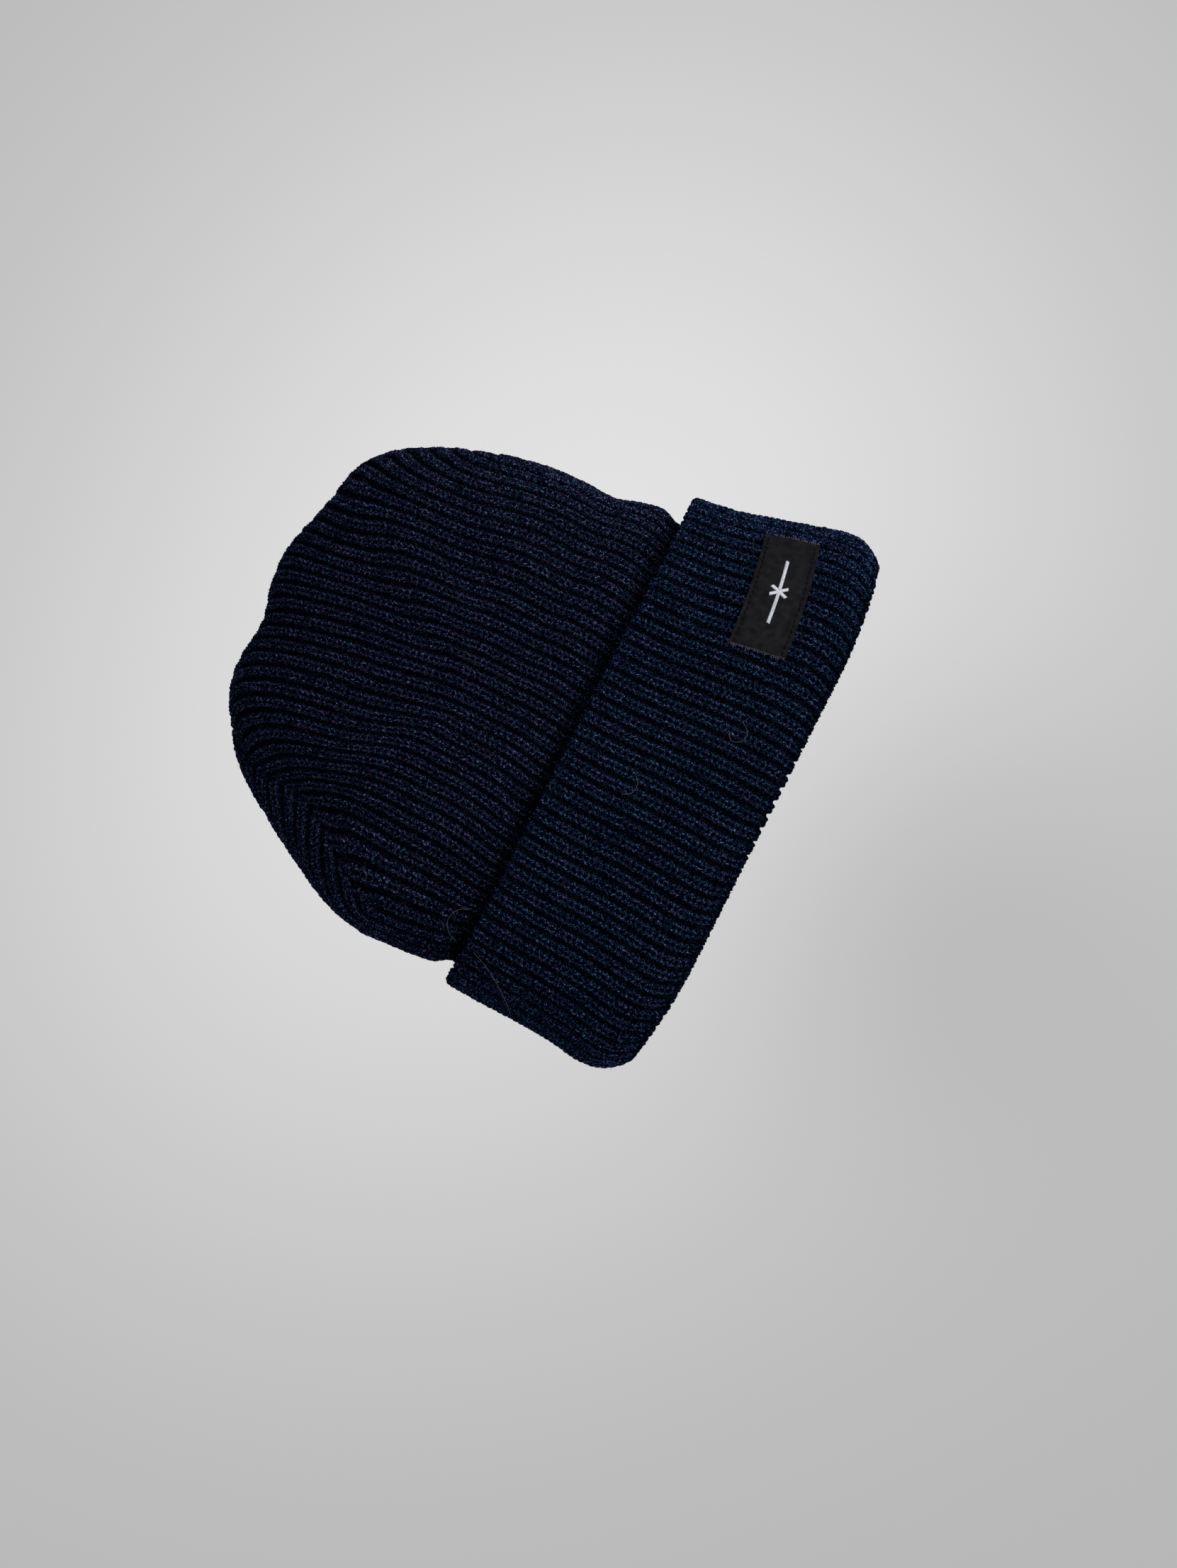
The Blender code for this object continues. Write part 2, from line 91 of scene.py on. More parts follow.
# Body tube: height, left side, right side, half depth
BODY_SECTIONS = [
    (10, -101.5, 88.0, 34.2),
    (40, -101.5, 88.0, 34.2),
    (70, -101.5, 88.0, 34.4),
    (84, -102.0, 87.6, 35.4),
    (94, -103.2, 86.2, 36.2),
    (104, -104.2, 83.0, 36.8),
    (116, -105.0, 83.0, 37.0),
]
BODY_BOTTOM = 10.0
CROWN_BASE = 116.0
COURSE = (CROWN_BASE - BODY_BOTTOM) / BODY_COURSES
ROW = COURSE / ROWS_PER_COURSE
CROWN_CENTRE_X = -11.0

# Line of the crown seam, from its left end over the top to its right end: x, y, z
CROWN_SEAM = [
    (-93.8, -19.5, 116),
    (-87.0, -22.0, 134),
    (-77.0, -21.5, 151),
    (-71.0, -17.0, 166),
    (-66.0, -8.0, 183),
    (-47.0, 7.0, 196),
    (-15.0, 14.0, 199),
    (20.0, 16.0, 201),
    (48.0, 15.0, 191),
    (69.0, 15.0, 168),
    (76.0, 17.0, 143),
    (71.8, 19.5, 116),
]
SEAM_PITCH = 4.9
SEAM_PITCH_RISE = 6.2
SEAM_RISE_RIBS = 4.7

# How a rib runs into the seam: rib, direction of a front rib, direction of the back rib that it meets
SEAM_ARRIVALS = [
    (0, 0.0, 0.0, 1.0, 0.0, 0.0, 1.0),
    (3, -0.1, 0.25, 0.95, 0.75, -0.25, 0.45),
    (7, -0.5, 0.55, 0.7, 0.9, -0.1, 0.3),
    (12, -0.4, 0.95, -0.1, 0.6, -0.75, 0.05),
    (18, -0.25, 1.0, -0.35, 0.15, -1.0, -0.05),
    (30, -0.05, 1.0, -0.35, 0.05, -1.0, -0.05),
    (36, -0.25, 1.0, 0.0, 0.25, -0.9, 0.3),
    (40, -0.2, 0.7, 0.6, 0.15, -0.5, 0.8),
    (42, 0.0, 0.0, 1.0, 0.0, 0.0, 1.0),
]
RISE_PULL = 1.35
ARRIVAL_PULL = 1.25

# Side outline of the crown, from right to left: x, z
CROWN_OUTLINE = [
    (83.0, 116.0),
    (80.0, 144.0),
    (75.0, 158.0),
    (68.0, 175.0),
    (59.0, 189.0),
    (51.0, 196.0),
    (35.0, 200.0),
    (19.0, 205.0),
    (8.0, 207.5),
    (-3.0, 206.5),
    (-18.0, 202.0),
    (-35.0, 203.5),
    (-53.0, 199.5),
    (-66.0, 190.5),
    (-82.0, 167.0),
    (-93.0, 149.0),
    (-101.5, 133.0),
    (-105.0, 116.0),
]

# Cuff: share of its height, left side, right side, half depth
CUFF_SECTIONS = [
    (0.00, -104.5, 106.5, 40.6),
    (0.10, -109.6, 110.0, 41.4),
    (0.20, -110.8, 110.2, 41.5),
    (0.38, -109.4, 107.0, 41.2),
    (0.55, -108.6, 103.6, 40.6),
    (0.75, -108.4, 99.6, 40.0),
    (1.00, -107.6, 96.6, 39.6),
]
CUFF_HEIGHT = 77.0
CUFF_END_LIFT = 4.0
RIM_LIFT = 7.0
RIM_FLAT = 60.0
RIM_LIFT_RUN = 50.0


UPRIGHT = np.array([0.0, 0.0, 1.0])


def through(keys, at):
    """Values of a smooth curve through keys of (position, value, ...), at the positions asked for."""
    table = np.array(keys, float)
    x, y = table[:, 0], table[:, 1:]
    slope = np.gradient(y, x, axis=0)
    at = np.clip(np.asarray(at, float), x[0], x[-1])
    i = np.clip(np.searchsorted(x, at, side="right") - 1, 0, len(x) - 2)
    step = (x[i + 1] - x[i])[..., None]
    s = (at - x[i])[..., None] / step
    start, end = 2 * s**3 - 3 * s**2 + 1, 3 * s**2 - 2 * s**3
    leave, arrive = s**3 - 2 * s**2 + s, s**3 - s**2
    return start * y[i] + leave * step * slope[i] + end * y[i + 1] + arrive * step * slope[i + 1]


def shares(count):
    return np.linspace(0.0, 1.0, count)


def bell(value, width):
    return np.exp(-((value / width) ** 2))


def at_lengths(points, length, wanted):
    """Places on a line of points at the wanted lengths along it."""
    return np.stack([np.interp(wanted, length, column) for column in points.T], axis=-1)


def unit(vectors):
    return vectors / np.maximum(np.linalg.norm(vectors, axis=-1, keepdims=True), 1e-12)


def running_length(points):
    steps = np.linalg.norm(np.diff(points, axis=0), axis=1)
    return np.concatenate([[0.0], np.cumsum(steps)])


def ease(low, high, value):
    s = np.clip((value - low) / (high - low), 0.0, 1.0)
    return s * s * (3 - 2 * s)


TURN = np.linspace(0.0, 2.0 * math.pi, 1441)
LOOP_X = -np.sign(np.cos(TURN)) * np.abs(np.cos(TURN)) ** (2.0 / SECTION_EXPONENT)
LOOP_Y = -np.sign(np.sin(TURN)) * np.abs(np.sin(TURN)) ** (2.0 / SECTION_EXPONENT)


def section_points(ribs, left, right, depth):
    """Points at these ribs on a flattened-tube section, spaced evenly along it."""
    loop = np.stack([(left + right) / 2 + (right - left) / 2 * LOOP_X, depth * LOOP_Y], axis=-1)
    length = running_length(loop)
    wanted = (np.asarray(ribs, float) + RIB_LEAD) / RIBS % 1.0 * length[-1]
    return at_lengths(loop, length, wanted)


def seam_line():
    keys = [(i, *point) for i, point in enumerate(CROWN_SEAM)]
    line = through(keys, np.linspace(0.0, len(CROWN_SEAM) - 1, 1101))
    return line, running_length(line)


def on_seam(ribs):
    """Where the ribs of the front panel meet the crown seam."""
    line, length = seam_line()
    dense = np.linspace(0.0, PANEL_RIBS, 421)
    ends = bell(dense, SEAM_RISE_RIBS) + bell(PANEL_RIBS - dense, SEAM_RISE_RIBS)
    pitch = SEAM_PITCH + SEAM_PITCH_RISE * ends
    used = np.concatenate([[0.0], np.cumsum((pitch[1:] + pitch[:-1]) / 2)])
    wanted = np.interp(ribs, dense, used / used[-1]) * length[-1]
    return at_lengths(line, length, wanted)


def crown_ends(ribs):
    """Foot, seam point, and the two pulls of each rib's way up the crown."""
    ribs = np.asarray(ribs, float)
    partner = np.where(ribs <= PANEL_RIBS, ribs, RIBS - ribs)
    foot = section_points(ribs, *BODY_SECTIONS[-1][1:])
    start = np.column_stack([foot, np.full(len(ribs), CROWN_BASE)])
    end = on_seam(partner)
    arrivals = through(SEAM_ARRIVALS, partner)
    direction = unit(np.where((ribs <= PANEL_RIBS)[:, None], arrivals[:, :3], arrivals[:, 3:]))
    reach = np.linalg.norm(end - start, axis=1)[:, None]
    return start, end, reach * RISE_PULL * UPRIGHT, reach * ARRIVAL_PULL * direction


def plain_crown(ribs, rise):
    """Crown points for ribs by rises, before the outline is fitted; rise is one list or one per rib."""
    start, end, leave, arrive = (a[:, None] for a in crown_ends(ribs))
    t = np.broadcast_to(np.asarray(rise, float), (len(ribs), np.shape(rise)[-1]))[..., None]
    points = (2 * t**3 - 3 * t**2 + 1) * start + (t**3 - 2 * t**2 + t) * leave
    return points + (3 * t**2 - 2 * t**3) * end + (t**3 - t**2) * arrive


def angle_and_radius(points):
    across = points[..., 0] - CROWN_CENTRE_X
    up = points[..., -1] - CROWN_BASE
    return np.arctan2(up, across), np.hypot(up, across)


def outline_stretch():
    """How far out the plain crown is eased at each angle, so that its side view fills CROWN_OUTLINE."""
    plain = plain_crown(np.linspace(0.0, RIBS, 337), shares(81))
    angle, radius = angle_and_radius(plain)
    stations = np.linspace(0.0, math.pi, 49)
    half_step = stations[1] / 2
    reach = np.array([radius[np.abs(angle - a) <= half_step].max() for a in stations])
    goal_angle, goal_radius = angle_and_radius(np.array(CROWN_OUTLINE))
    goal = through(np.column_stack([goal_angle, goal_radius]), stations)[:, 0]
    ratio = goal / reach
    ratio[0] = ratio[-1] = 1.0
    return stations, ratio


STRETCH = outline_stretch()


def crown_points(ribs, rise):
    points = plain_crown(ribs, rise)
    angle, _ = angle_and_radius(points)
    factor = np.interp(angle, *STRETCH)
    points[..., 0] = CROWN_CENTRE_X + (points[..., 0] - CROWN_CENTRE_X) * factor
    points[..., 2] = CROWN_BASE + (points[..., 2] - CROWN_BASE) * factor
    return points


def body_points(ribs, heights):
    """Outer face of the body tube: heights by ribs. The ribs may be one list or one for each height."""
    rows = []
    for row, height in zip(np.broadcast_to(ribs, (len(heights), np.shape(ribs)[-1])), heights):
        foot = section_points(row, *through(BODY_SECTIONS, height))
        rows.append(np.column_stack([foot, np.full(len(foot), height)]))
    return np.array(rows)


def end_share(x):
    """How much of the lift at the hat's left and right ends there is at x."""
    return np.clip((np.abs(x) - RIM_FLAT) / RIM_LIFT_RUN, 0.0, 1.0) ** 2


def cuff_points(ribs, depths, heights):
    """Lines round the cuff: one for each pair of depth behind its outer face and height above its rim."""
    rows = []
    ribs = np.broadcast_to(ribs, (len(heights), np.shape(ribs)[-1]))
    for row, depth_behind, height in zip(ribs, depths, heights):
        share = height / CUFF_HEIGHT
        left, right, depth = through(CUFF_SECTIONS, share)
        foot = section_points(row, left + depth_behind, right - depth_behind, depth - depth_behind)
        lift = end_share(foot[:, 0]) * (RIM_LIFT * (1.0 - share) + CUFF_END_LIFT * share)
        rows.append(np.column_stack([foot, height + lift]))
    return np.array(rows)


# ---- relief of the knit, in pattern millimetres ----

GROOVE_DEPTH = 2.2
LEG_HEIGHT = 1.15
LEG_SIDE = 0.16  # how far the middle of a leg lies from the middle of its rib, in ribs
LEG_SLANT = 0.19  # and how much further out it gets in one stitch
LEG_HALF_WIDTH = 0.12
LEG_HALF_LENGTH = 0.74  # in stitches
LEG_STRAY = 0.02  # how far legs lie out of line, in ribs
LEG_LEAST = 0.85  # height of the lowest legs, next to LEG_HEIGHT, and how much higher others are
LEG_UNEVEN = 0.3
WALL = (0.37, 0.49)  # where the side of a rib falls off into the groove
CREST_ROUNDING = 0.45
PURL_BUMP = 0.35
HOLE_DEPTH = 1.5  # the hole between the two legs of a stitch, on the middle of its rib
HOLE_HALF_WIDTH = 0.14  # in ribs
HOLE_HALF_LENGTH = 0.27  # in stitches
HOLE_PLACE = 0.1  # how far beyond the middle of its stitch
USUAL_PITCH = 5.2
PITCH_SCALES = (0.2, 1.15)
PINCH_HEIGHT = 78.6  # the body is drawn in where the free edge of the cuff ends
PINCH_HALF_WIDTH = 4.4
PINCH_DEPTH = 3.2
CREASE_SHADE = 0.9  # painted shade down in that crease: the colour is darkened as if the knit were this much deeper
CREASE_HALF_WIDTH = 2.6
FACE_LIFT = 0.7  # the tops of the ribs stand this far out of the CAD face
CROWN_SWELL = 1.5
CROWN_SWELL_RISE = (125.0, 170.0)
SEAM_DEPTH = 1.9
SEAM_HALF_WIDTH = 1.5
SEAM_NORMAL_REACH = 3.0
NOISE_COURSES = 160

stitch_noise = np.random.default_rng(11).random((RIBS, NOISE_COURSES, 2))


def knit_relief(u, v, upward):
    """Height over the base surface at rib u and stitch v; upward is 1 or -1, the way the stitches point."""
    rib = np.floor(u)
    offset = u - rib - 0.5
    side = (offset > 0).astype(int)
    away = np.abs(offset)
    wall = ease(*WALL, away)
    crest = -LEG_HEIGHT - CREST_ROUNDING * (away / WALL[0]) ** 3 * (1 - wall)
    legs = np.zeros_like(u)
    for shift in (-1, 0, 1):
        stitch = np.floor(v) + shift
        along = (v - stitch - 0.5) * upward
        chance = stitch_noise[rib.astype(int) % RIBS, stitch.astype(int) % NOISE_COURSES, side]
        centre = LEG_SIDE + LEG_SLANT * along + LEG_STRAY * (chance - 0.5)
        across = (away - centre) / LEG_HALF_WIDTH
        rest = 1 - across**2 - (along / LEG_HALF_LENGTH) ** 2
        height = LEG_HEIGHT * (LEG_LEAST + LEG_UNEVEN * chance)
        legs = np.maximum(legs, height * np.sqrt(np.maximum(rest, 0.0)))
    past = (v - np.floor(v) - 0.5) * upward - HOLE_PLACE
    past -= np.round(past)
    hole = HOLE_DEPTH * np.exp(-((offset / HOLE_HALF_WIDTH) ** 2) - (past / HOLE_HALF_LENGTH) ** 2)
    floor = -GROOVE_DEPTH + PURL_BUMP * np.cos(2 * math.pi * v)
    return (crest + legs - hole) * (1 - wall) + floor * wall


def rib_lines(places):
    """Rib numbers of the mesh lines all round the hat, from rib 0 to rib 84."""
    centres = np.arange(RIBS)[:, None] + 0.5
    return np.append((centres + np.array(places)[None]).ravel(), float(RIBS))


def pitch_scale(points, lines):
    """How wide the ribs are at each point of a grid of rows by lines, next to a usual rib."""
    spread = np.linalg.norm(np.gradient(points, axis=1), axis=-1) / np.gradient(lines)[None]
    return np.clip(spread / USUAL_PITCH, *PITCH_SCALES)


def tube_normals(points):
    """Outward normals of a grid of rows by lines that closes round the hat."""
    wide = np.concatenate([points[:, -2:-1], points, points[:, 1:2]], axis=1)
    return unit(np.cross(wide[:, 2:] - wide[:, :-2], np.gradient(points, axis=0)))


# How far the ribs are pushed sideways, in ribs: rib, push at the shoulder of the body, share of it that is
# lost again further up, and push near the top of the crown
BODY_LEAN = [
    (0, 0.0, 0.75, 0.0),
    (2, 1.0, 0.75, 0.0),
    (5, 1.7, 0.75, 0.0),
    (10, 1.7, 0.75, 0.0),
    (16, 1.2, 0.5, 0.2),
    (24, 0.85, 0.5, 1.2),
    (29, 0.8, 0.5, 2.0),
    (35, 0.8, 0.5, 2.0),
    (39, 0.5, 0.5, 0.9),
    (42, 0.0, 0.5, 0.0),
    (84, 0.0, 0.5, 0.0),
]
SHOULDER = (72.0, 110.0)
LEAN_LOSS_RUN = 38.0
LEAN_END = 12.0  # the push dies out this close to the crown seam
TOP_LEAN_FROM_SEAM = 18.0
TOP_LEAN_REACH = 24.0
TOP_LEAN_RUN = 40.0
# The same on the cuff, over its full height
CUFF_LEAN = [(0, 1.0), (8, 1.1), (30, 1.0), (37, 0.6), (44, 0.2), (52, 0.0), (74, 0.0), (80, 0.6), (84, 1.0)]
CUFF_LEAN_LEVEL = 0.3  # share of the cuff's height where its ribs aren't pushed


def lean_on_tube(ribs, heights):
    return through(BODY_LEAN, ribs)[:, 0][None] * ease(*SHOULDER, np.asarray(heights))[:, None]


def lean_on_crown(ribs, run, total):
    """Sideways push of each rib after this run up the crown; it ends at the crown seam."""
    shoulder, loss, top = (column[:, None] for column in through(BODY_LEAN, ribs).T)
    left = total[:, None] - run
    kept = 1 - loss * ease(0.0, LEAN_LOSS_RUN, run)
    end = 1 - bell(left, LEAN_END)
    bump = bell(left - TOP_LEAN_FROM_SEAM, TOP_LEAN_REACH) * ease(0.0, TOP_LEAN_RUN, run)
    return (shoulder * kept + top * bump) * end


def above_crease(points):
    """Height of points over the crease in the body, which follows the lifted ends of the cuff."""
    return points[..., 2] - PINCH_HEIGHT - CUFF_END_LIFT * end_share(points[..., 0])


class Knit:
    """A knitted surface on a grid: points, normals, rib and stitch numbers, and the way left to the seam."""

    def __init__(self, points, normals, lines, courses, to_seam):
        pinch = PINCH_DEPTH * bell(above_crease(points), PINCH_HALF_WIDTH)
        points = points - normals * pinch[..., None]
        self.points = points
        self.normals = normals
        self.u = np.broadcast_to(lines[None], points.shape[:2])
        self.v = courses
        self.to_seam = to_seam
        self.scale = pitch_scale(points, lines)


def crown_grid(lines, row):
    """Rows of the crown at even steps up each rib, held at the crown seam once a rib has reached it."""
    rise = shares(121)
    dense = crown_points(lines, rise)
    steps = np.linalg.norm(np.diff(dense, axis=1), axis=2)
    length = np.concatenate([np.zeros((len(lines), 1)), np.cumsum(steps, axis=1)], axis=1)
    total = length[:, -1]
    wanted = np.arange(1, int(total.max() / row) + 3) * row
    share = np.array([np.interp(wanted, length[i] + 1e-9 * rise, rise) for i in range(len(lines))])
    run = np.minimum(wanted[None], total[:, None])
    pushed = lines[:, None] + lean_on_crown(lines, run, total)
    points = np.empty((len(wanted), len(lines), 3))
    normals = np.empty_like(points)
    near = 1e-3
    for i in range(len(wanted)):
        ribs, here = pushed[:, i], share[:, i : i + 1]
        below, above = np.maximum(here - near, 0.0), np.minimum(here + near, 1.0)
        points[i] = crown_points(ribs, here)[:, 0]
        up = crown_points(ribs, above) - crown_points(ribs, below)
        up = np.where(np.linalg.norm(up, axis=-1, keepdims=True) > 1e-6, up, UPRIGHT)
        aside = crown_points(ribs + near, here) - crown_points(ribs - near, here)
        normals[i] = unit(np.cross(aside, up))[:, 0]
    return points, normals, run.T, total


def body_knit(lines, row):
    """The outer face of body tube and crown, without relief."""
    rows = int(round((CROWN_BASE - BODY_BOTTOM) / row))
    heights = np.linspace(BODY_BOTTOM, CROWN_BASE, rows + 1)
    tube = body_points(lines + lean_on_tube(lines, heights), heights)
    crown, crown_normals, run, total = crown_grid(lines, row)
    points = np.concatenate([tube, crown])
    normals = np.concatenate([tube_normals(tube), crown_normals])
    run = np.concatenate([np.repeat((heights - CROWN_BASE)[:, None], len(lines), axis=1), run])
    to_seam = total[None] - run
    at_seam = unit(normals[-1] + normals[-1, ::-1])
    weight = bell(to_seam, SEAM_NORMAL_REACH)[..., None]
    normals = unit(normals * (1 - weight) + at_seam[None] * weight)
    return Knit(points, normals, lines, (run + CROWN_BASE - BODY_BOTTOM) / COURSE, to_seam)


def raised(knit, relief):
    """The surface with its relief, sunk along the crown seam and swelling a little towards the top."""
    valley = bell(knit.to_seam, SEAM_HALF_WIDTH)
    swell = CROWN_SWELL * ease(*CROWN_SWELL_RISE, knit.points[..., 2])
    height = (relief * knit.scale + FACE_LIFT) * (1 - valley) - SEAM_DEPTH * valley + swell
    return knit.points + knit.normals * height[..., None]


def add_object(name, data):
    item = bpy.data.objects.new(name, data)
    bpy.context.scene.collection.objects.link(item)
    return item


def mesh_object(name, vertices, faces, material):
    """A smooth mesh from arrays of points in millimetres and of faces with the same number of corners."""
    mesh = bpy.data.meshes.new(name)
    mesh.vertices.add(len(vertices))
    mesh.vertices.foreach_set("co", (vertices * MM).astype(np.float32).ravel())
    mesh.loops.add(faces.size)
    mesh.loops.foreach_set("vertex_index", faces.astype(np.int32).ravel())
    mesh.polygons.add(len(faces))
    mesh.polygons.foreach_set("loop_start", np.arange(0, faces.size, faces.shape[1], dtype=np.int32))
    mesh.polygons.foreach_set("use_smooth", np.ones(len(faces), bool))
    mesh.update(calc_edges=True)
    mesh.materials.append(material)
    return add_object(name, mesh)


def lay_out(item, name, flat, faces):
    """Gives a mesh a UV map, from one flat place for each vertex."""
    uv = item.data.uv_layers.new(name=name)
    uv.data.foreach_set("uv", flat[faces.ravel()].astype(np.float32).ravel())


STRETCHED = "body to cuff"


def settle(item, body, slot, *nodes):
    """Fastens a piece to a body, or else bakes its place into its mesh, and has it stand for CAD nodes,
    which it hides; slot is not used.
    """
    if body == STRETCHED:
        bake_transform(item)
    else:
        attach(item, body)
    if nodes:
        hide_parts(*nodes)


def grid_index(rows, lines):
    return np.arange(rows * lines).reshape(rows, lines)


def grid_faces(rows, lines):
    index = grid_index(rows, lines)
    corners = (index[:-1, :-1], index[:-1, 1:], index[1:, 1:], index[1:, :-1])
    return np.stack(corners, axis=-1).reshape(-1, 4)


LEAST_AREA = 1e-5  # twice the area of the smallest face that is kept
SAME_PLACE = 0.002  # vertices this close are joined


def knit_object(name, points, u, v, relief, material):
    """A knitted piece on a grid of rows by lines; its UV map holds rib and stitch numbers."""
    rows, lines = points.shape[:2]
    faces = grid_faces(rows, lines)
    flat = points.reshape(-1, 3)
    quad = flat[faces]
    area = np.linalg.norm(np.cross(quad[:, 2] - quad[:, 0], quad[:, 3] - quad[:, 1]), axis=1)
    faces = faces[area > LEAST_AREA]
    used, compact = np.unique(faces, return_inverse=True)
    faces = compact.reshape(-1, 4)
    item = mesh_object(name, flat[used], faces, material)
    knit = np.stack([u.ravel(), v.ravel()], axis=-1)[used]
    lay_out(item, "knit", knit, faces)
    # The relief attribute drives the painted groove shade of the yarn; on the body and the cuff it also
    # holds painted crease and edge shade
    height = item.data.attributes.new("relief", "FLOAT", "POINT")
    height.data.foreach_set("value", relief.ravel()[used].astype(np.float32))
    clean = bmesh.new()
    clean.from_mesh(item.data)
    bmesh.ops.remove_doubles(clean, verts=clean.verts, dist=SAME_PLACE * MM)
    clean.to_mesh(item.data)
    clean.free()
    return item


QUARTERS = ["front_left", "front_right", "back_right", "back_left"]


def quarters(name, points, u, v, relief, material, body, *nodes):
    """The same surface as four pieces, so that none is too heavy; the first one stands for the nodes."""
    span = (points.shape[1] - 1) // len(QUARTERS)
    made = []
    for i, quarter in enumerate(QUARTERS):
        part = slice(i * span, (i + 1) * span + 1)
        fields = [field[:, part] for field in (points, u, v, relief)]
        piece = knit_object(f"{name}_{quarter}", *fields, material)
        settle(piece, body, "navy_yarn", *nodes)
        nodes = ()
        made.append(piece)
    return made


# ---- body, lining and cuff ----

HEM_ROWS = [(1.2, 9.4), (2.3, 9.6), (2.6, 11.0)]  # depth behind the outer face, height


def build_body(material):
    lines = rib_lines(OUTER_LINES)
    knit = body_knit(lines, ROW)
    relief = knit_relief(knit.u, knit.v, 1)
    points = raised(knit, relief)
    # Painted shade in the crease under the cuff's free edge: it goes only into the relief attribute, which
    # darkens the colour
    relief = relief - CREASE_SHADE * bell(above_crease(knit.points), CREASE_HALF_WIDTH)
    hem = [body_points(lines, [height])[0] - knit.normals[0] * depth for depth, height in HEM_ROWS[::-1]]
    points = np.concatenate([np.array(hem), points])
    v = np.concatenate([np.full((len(hem), len(lines)), 0.0), knit.v])
    u = np.broadcast_to(lines[None], v.shape)
    relief = np.concatenate([np.zeros((len(hem), len(lines))), relief])
    return quarters("body_knit", points, u, v, relief, material, "body", "knit_body")


LINING_ROW = COURSE / 2
LINING_RELIEF = 0.42
LINING_FLARE_TOP = 26.0
LINING_END = 7.0
LINING_END_DEPTH = 6.72


def build_lining(material):
    """The inner face of the knit, from the crown down into the fold of the cuff."""
    lines = rib_lines(INNER_LINES)
    knit = body_knit(lines, LINING_ROW)
    relief = knit_relief(knit.u + 0.5, knit.v, 1)
    valley = bell(knit.to_seam, SEAM_HALF_WIDTH)
    depth = KNIT_THICKNESS + relief * LINING_RELIEF * knit.scale * (1 - valley)
    points = knit.points - knit.normals * depth[..., None]
    extra = np.arange(LINING_END, BODY_BOTTOM - LINING_ROW / 2, LINING_ROW)
    low = points[:1] + (extra - BODY_BOTTOM)[:, None, None] * UPRIGHT
    points = np.concatenate([low, points])
    v = np.concatenate([knit.v[:1] + ((extra - BODY_BOTTOM) / COURSE)[:, None], knit.v])
    heights = np.minimum(points[:, 0, 2], LINING_FLARE_TOP)
    fold = cuff_points(lines, np.full(len(heights), LINING_END_DEPTH), heights)
    flare = 1 - ease(LINING_END, LINING_FLARE_TOP, points[:, :1, 2:])
    points = points * (1 - flare) + fold * flare
    u = np.broadcast_to(lines[None] + 0.5, v.shape)
    relief = np.concatenate([np.repeat(relief[:1], len(extra), axis=0), relief])
    for piece in quarters("lining_knit", points, u, v, relief, material, STRETCHED):
        piece.data.flip_normals()


# Way round the cuff, from inside its fold up to its free edge: depth behind the outer face, height
CUFF_WAY = [
    (6.9, 13.0),
    (6.85, 9.0),
    (6.5, 4.5),
    (5.6, 1.4),
    (3.6, 0.0),
    (1.4, 1.4),
    (0.3, 4.6),
    (0.0, 9.0),
    (0.0, 20.0),
    (0.0, 40.0),
    (0.0, 60.0),
    (0.0, 73.0),
    (0.15, 75.6),
    (1.0, 76.9),
    (2.2, 76.9),
    (3.05, 75.6),
    (3.2, 73.0),
]
CUFF_BACK_ROWS = np.linspace(70.0, 10.0, 16)
CUFF_BACK_RELIEF = 0.25
CUFF_LIFT = 0.35
EDGE_FADE = (71.0, 77.5)  # heights over which the grooves get shallower towards the free edge
EDGE_GROOVE = -1.1
EDGE_SHADE = 0.8  # painted shade round the cuff's fold and free edge and on its inner face: the colour is darkened as if the knit were this much deeper
EDGE_SHADE_DEPTHS = (0.2, 1.4)
CUFF_STITCH_WAY = -1


def cuff_way():
    """Rows of the cuff along CUFF_WAY: depth, height and stitch number."""
    way = np.array(CUFF_WAY)
    length = running_length(way)
    places = np.arange(0.0, length[-1], ROW)
    rows = through(np.column_stack([length, way]), places)
    return rows[:, 0], rows[:, 1], places / COURSE


def build_cuff(material):
    lines = rib_lines(OUTER_LINES)
    depth, height, v = cuff_way()
    face = np.repeat([1.0, 0.0], [len(depth), len(CUFF_BACK_ROWS)])[:, None]
    depth = np.concatenate([depth, np.full(len(CUFF_BACK_ROWS), KNIT_THICKNESS)])
    height = np.concatenate([height, CUFF_BACK_ROWS])
    drop = (CUFF_BACK_ROWS[0] - CUFF_BACK_ROWS) / COURSE
    v = np.concatenate([v, v[-1] + 1 + drop])
    lean = through(CUFF_LEAN, lines)[:, 0][None] * (height / CUFF_HEIGHT - CUFF_LEAN_LEVEL)[:, None]
    base = cuff_points(lines + lean, depth, height)
    normals = tube_normals(base)
    u = np.broadcast_to(lines[None], base.shape[:2])
    v = np.repeat(v[:, None], len(lines), axis=1)
    relief = knit_relief(u, v, CUFF_STITCH_WAY)
    near_edge = ease(*EDGE_FADE, height)[:, None] * face
    relief = np.maximum(relief, EDGE_GROOVE - (1 - near_edge) * GROOVE_DEPTH)
    strength = np.where(face, 1.0, CUFF_BACK_RELIEF)
    points = base + normals * (relief * strength * pitch_scale(base, lines) + CUFF_LIFT * face)[..., None]
    # Painted shade round the fold, the free edge and the inside of the cuff: it goes only into the relief
    # attribute, which darkens the colour
    relief = relief - EDGE_SHADE * ease(*EDGE_SHADE_DEPTHS, depth)[:, None]
    return quarters("cuff_knit", points, u, v, relief, material, "cuff", "cuff")


# ---- threads ----


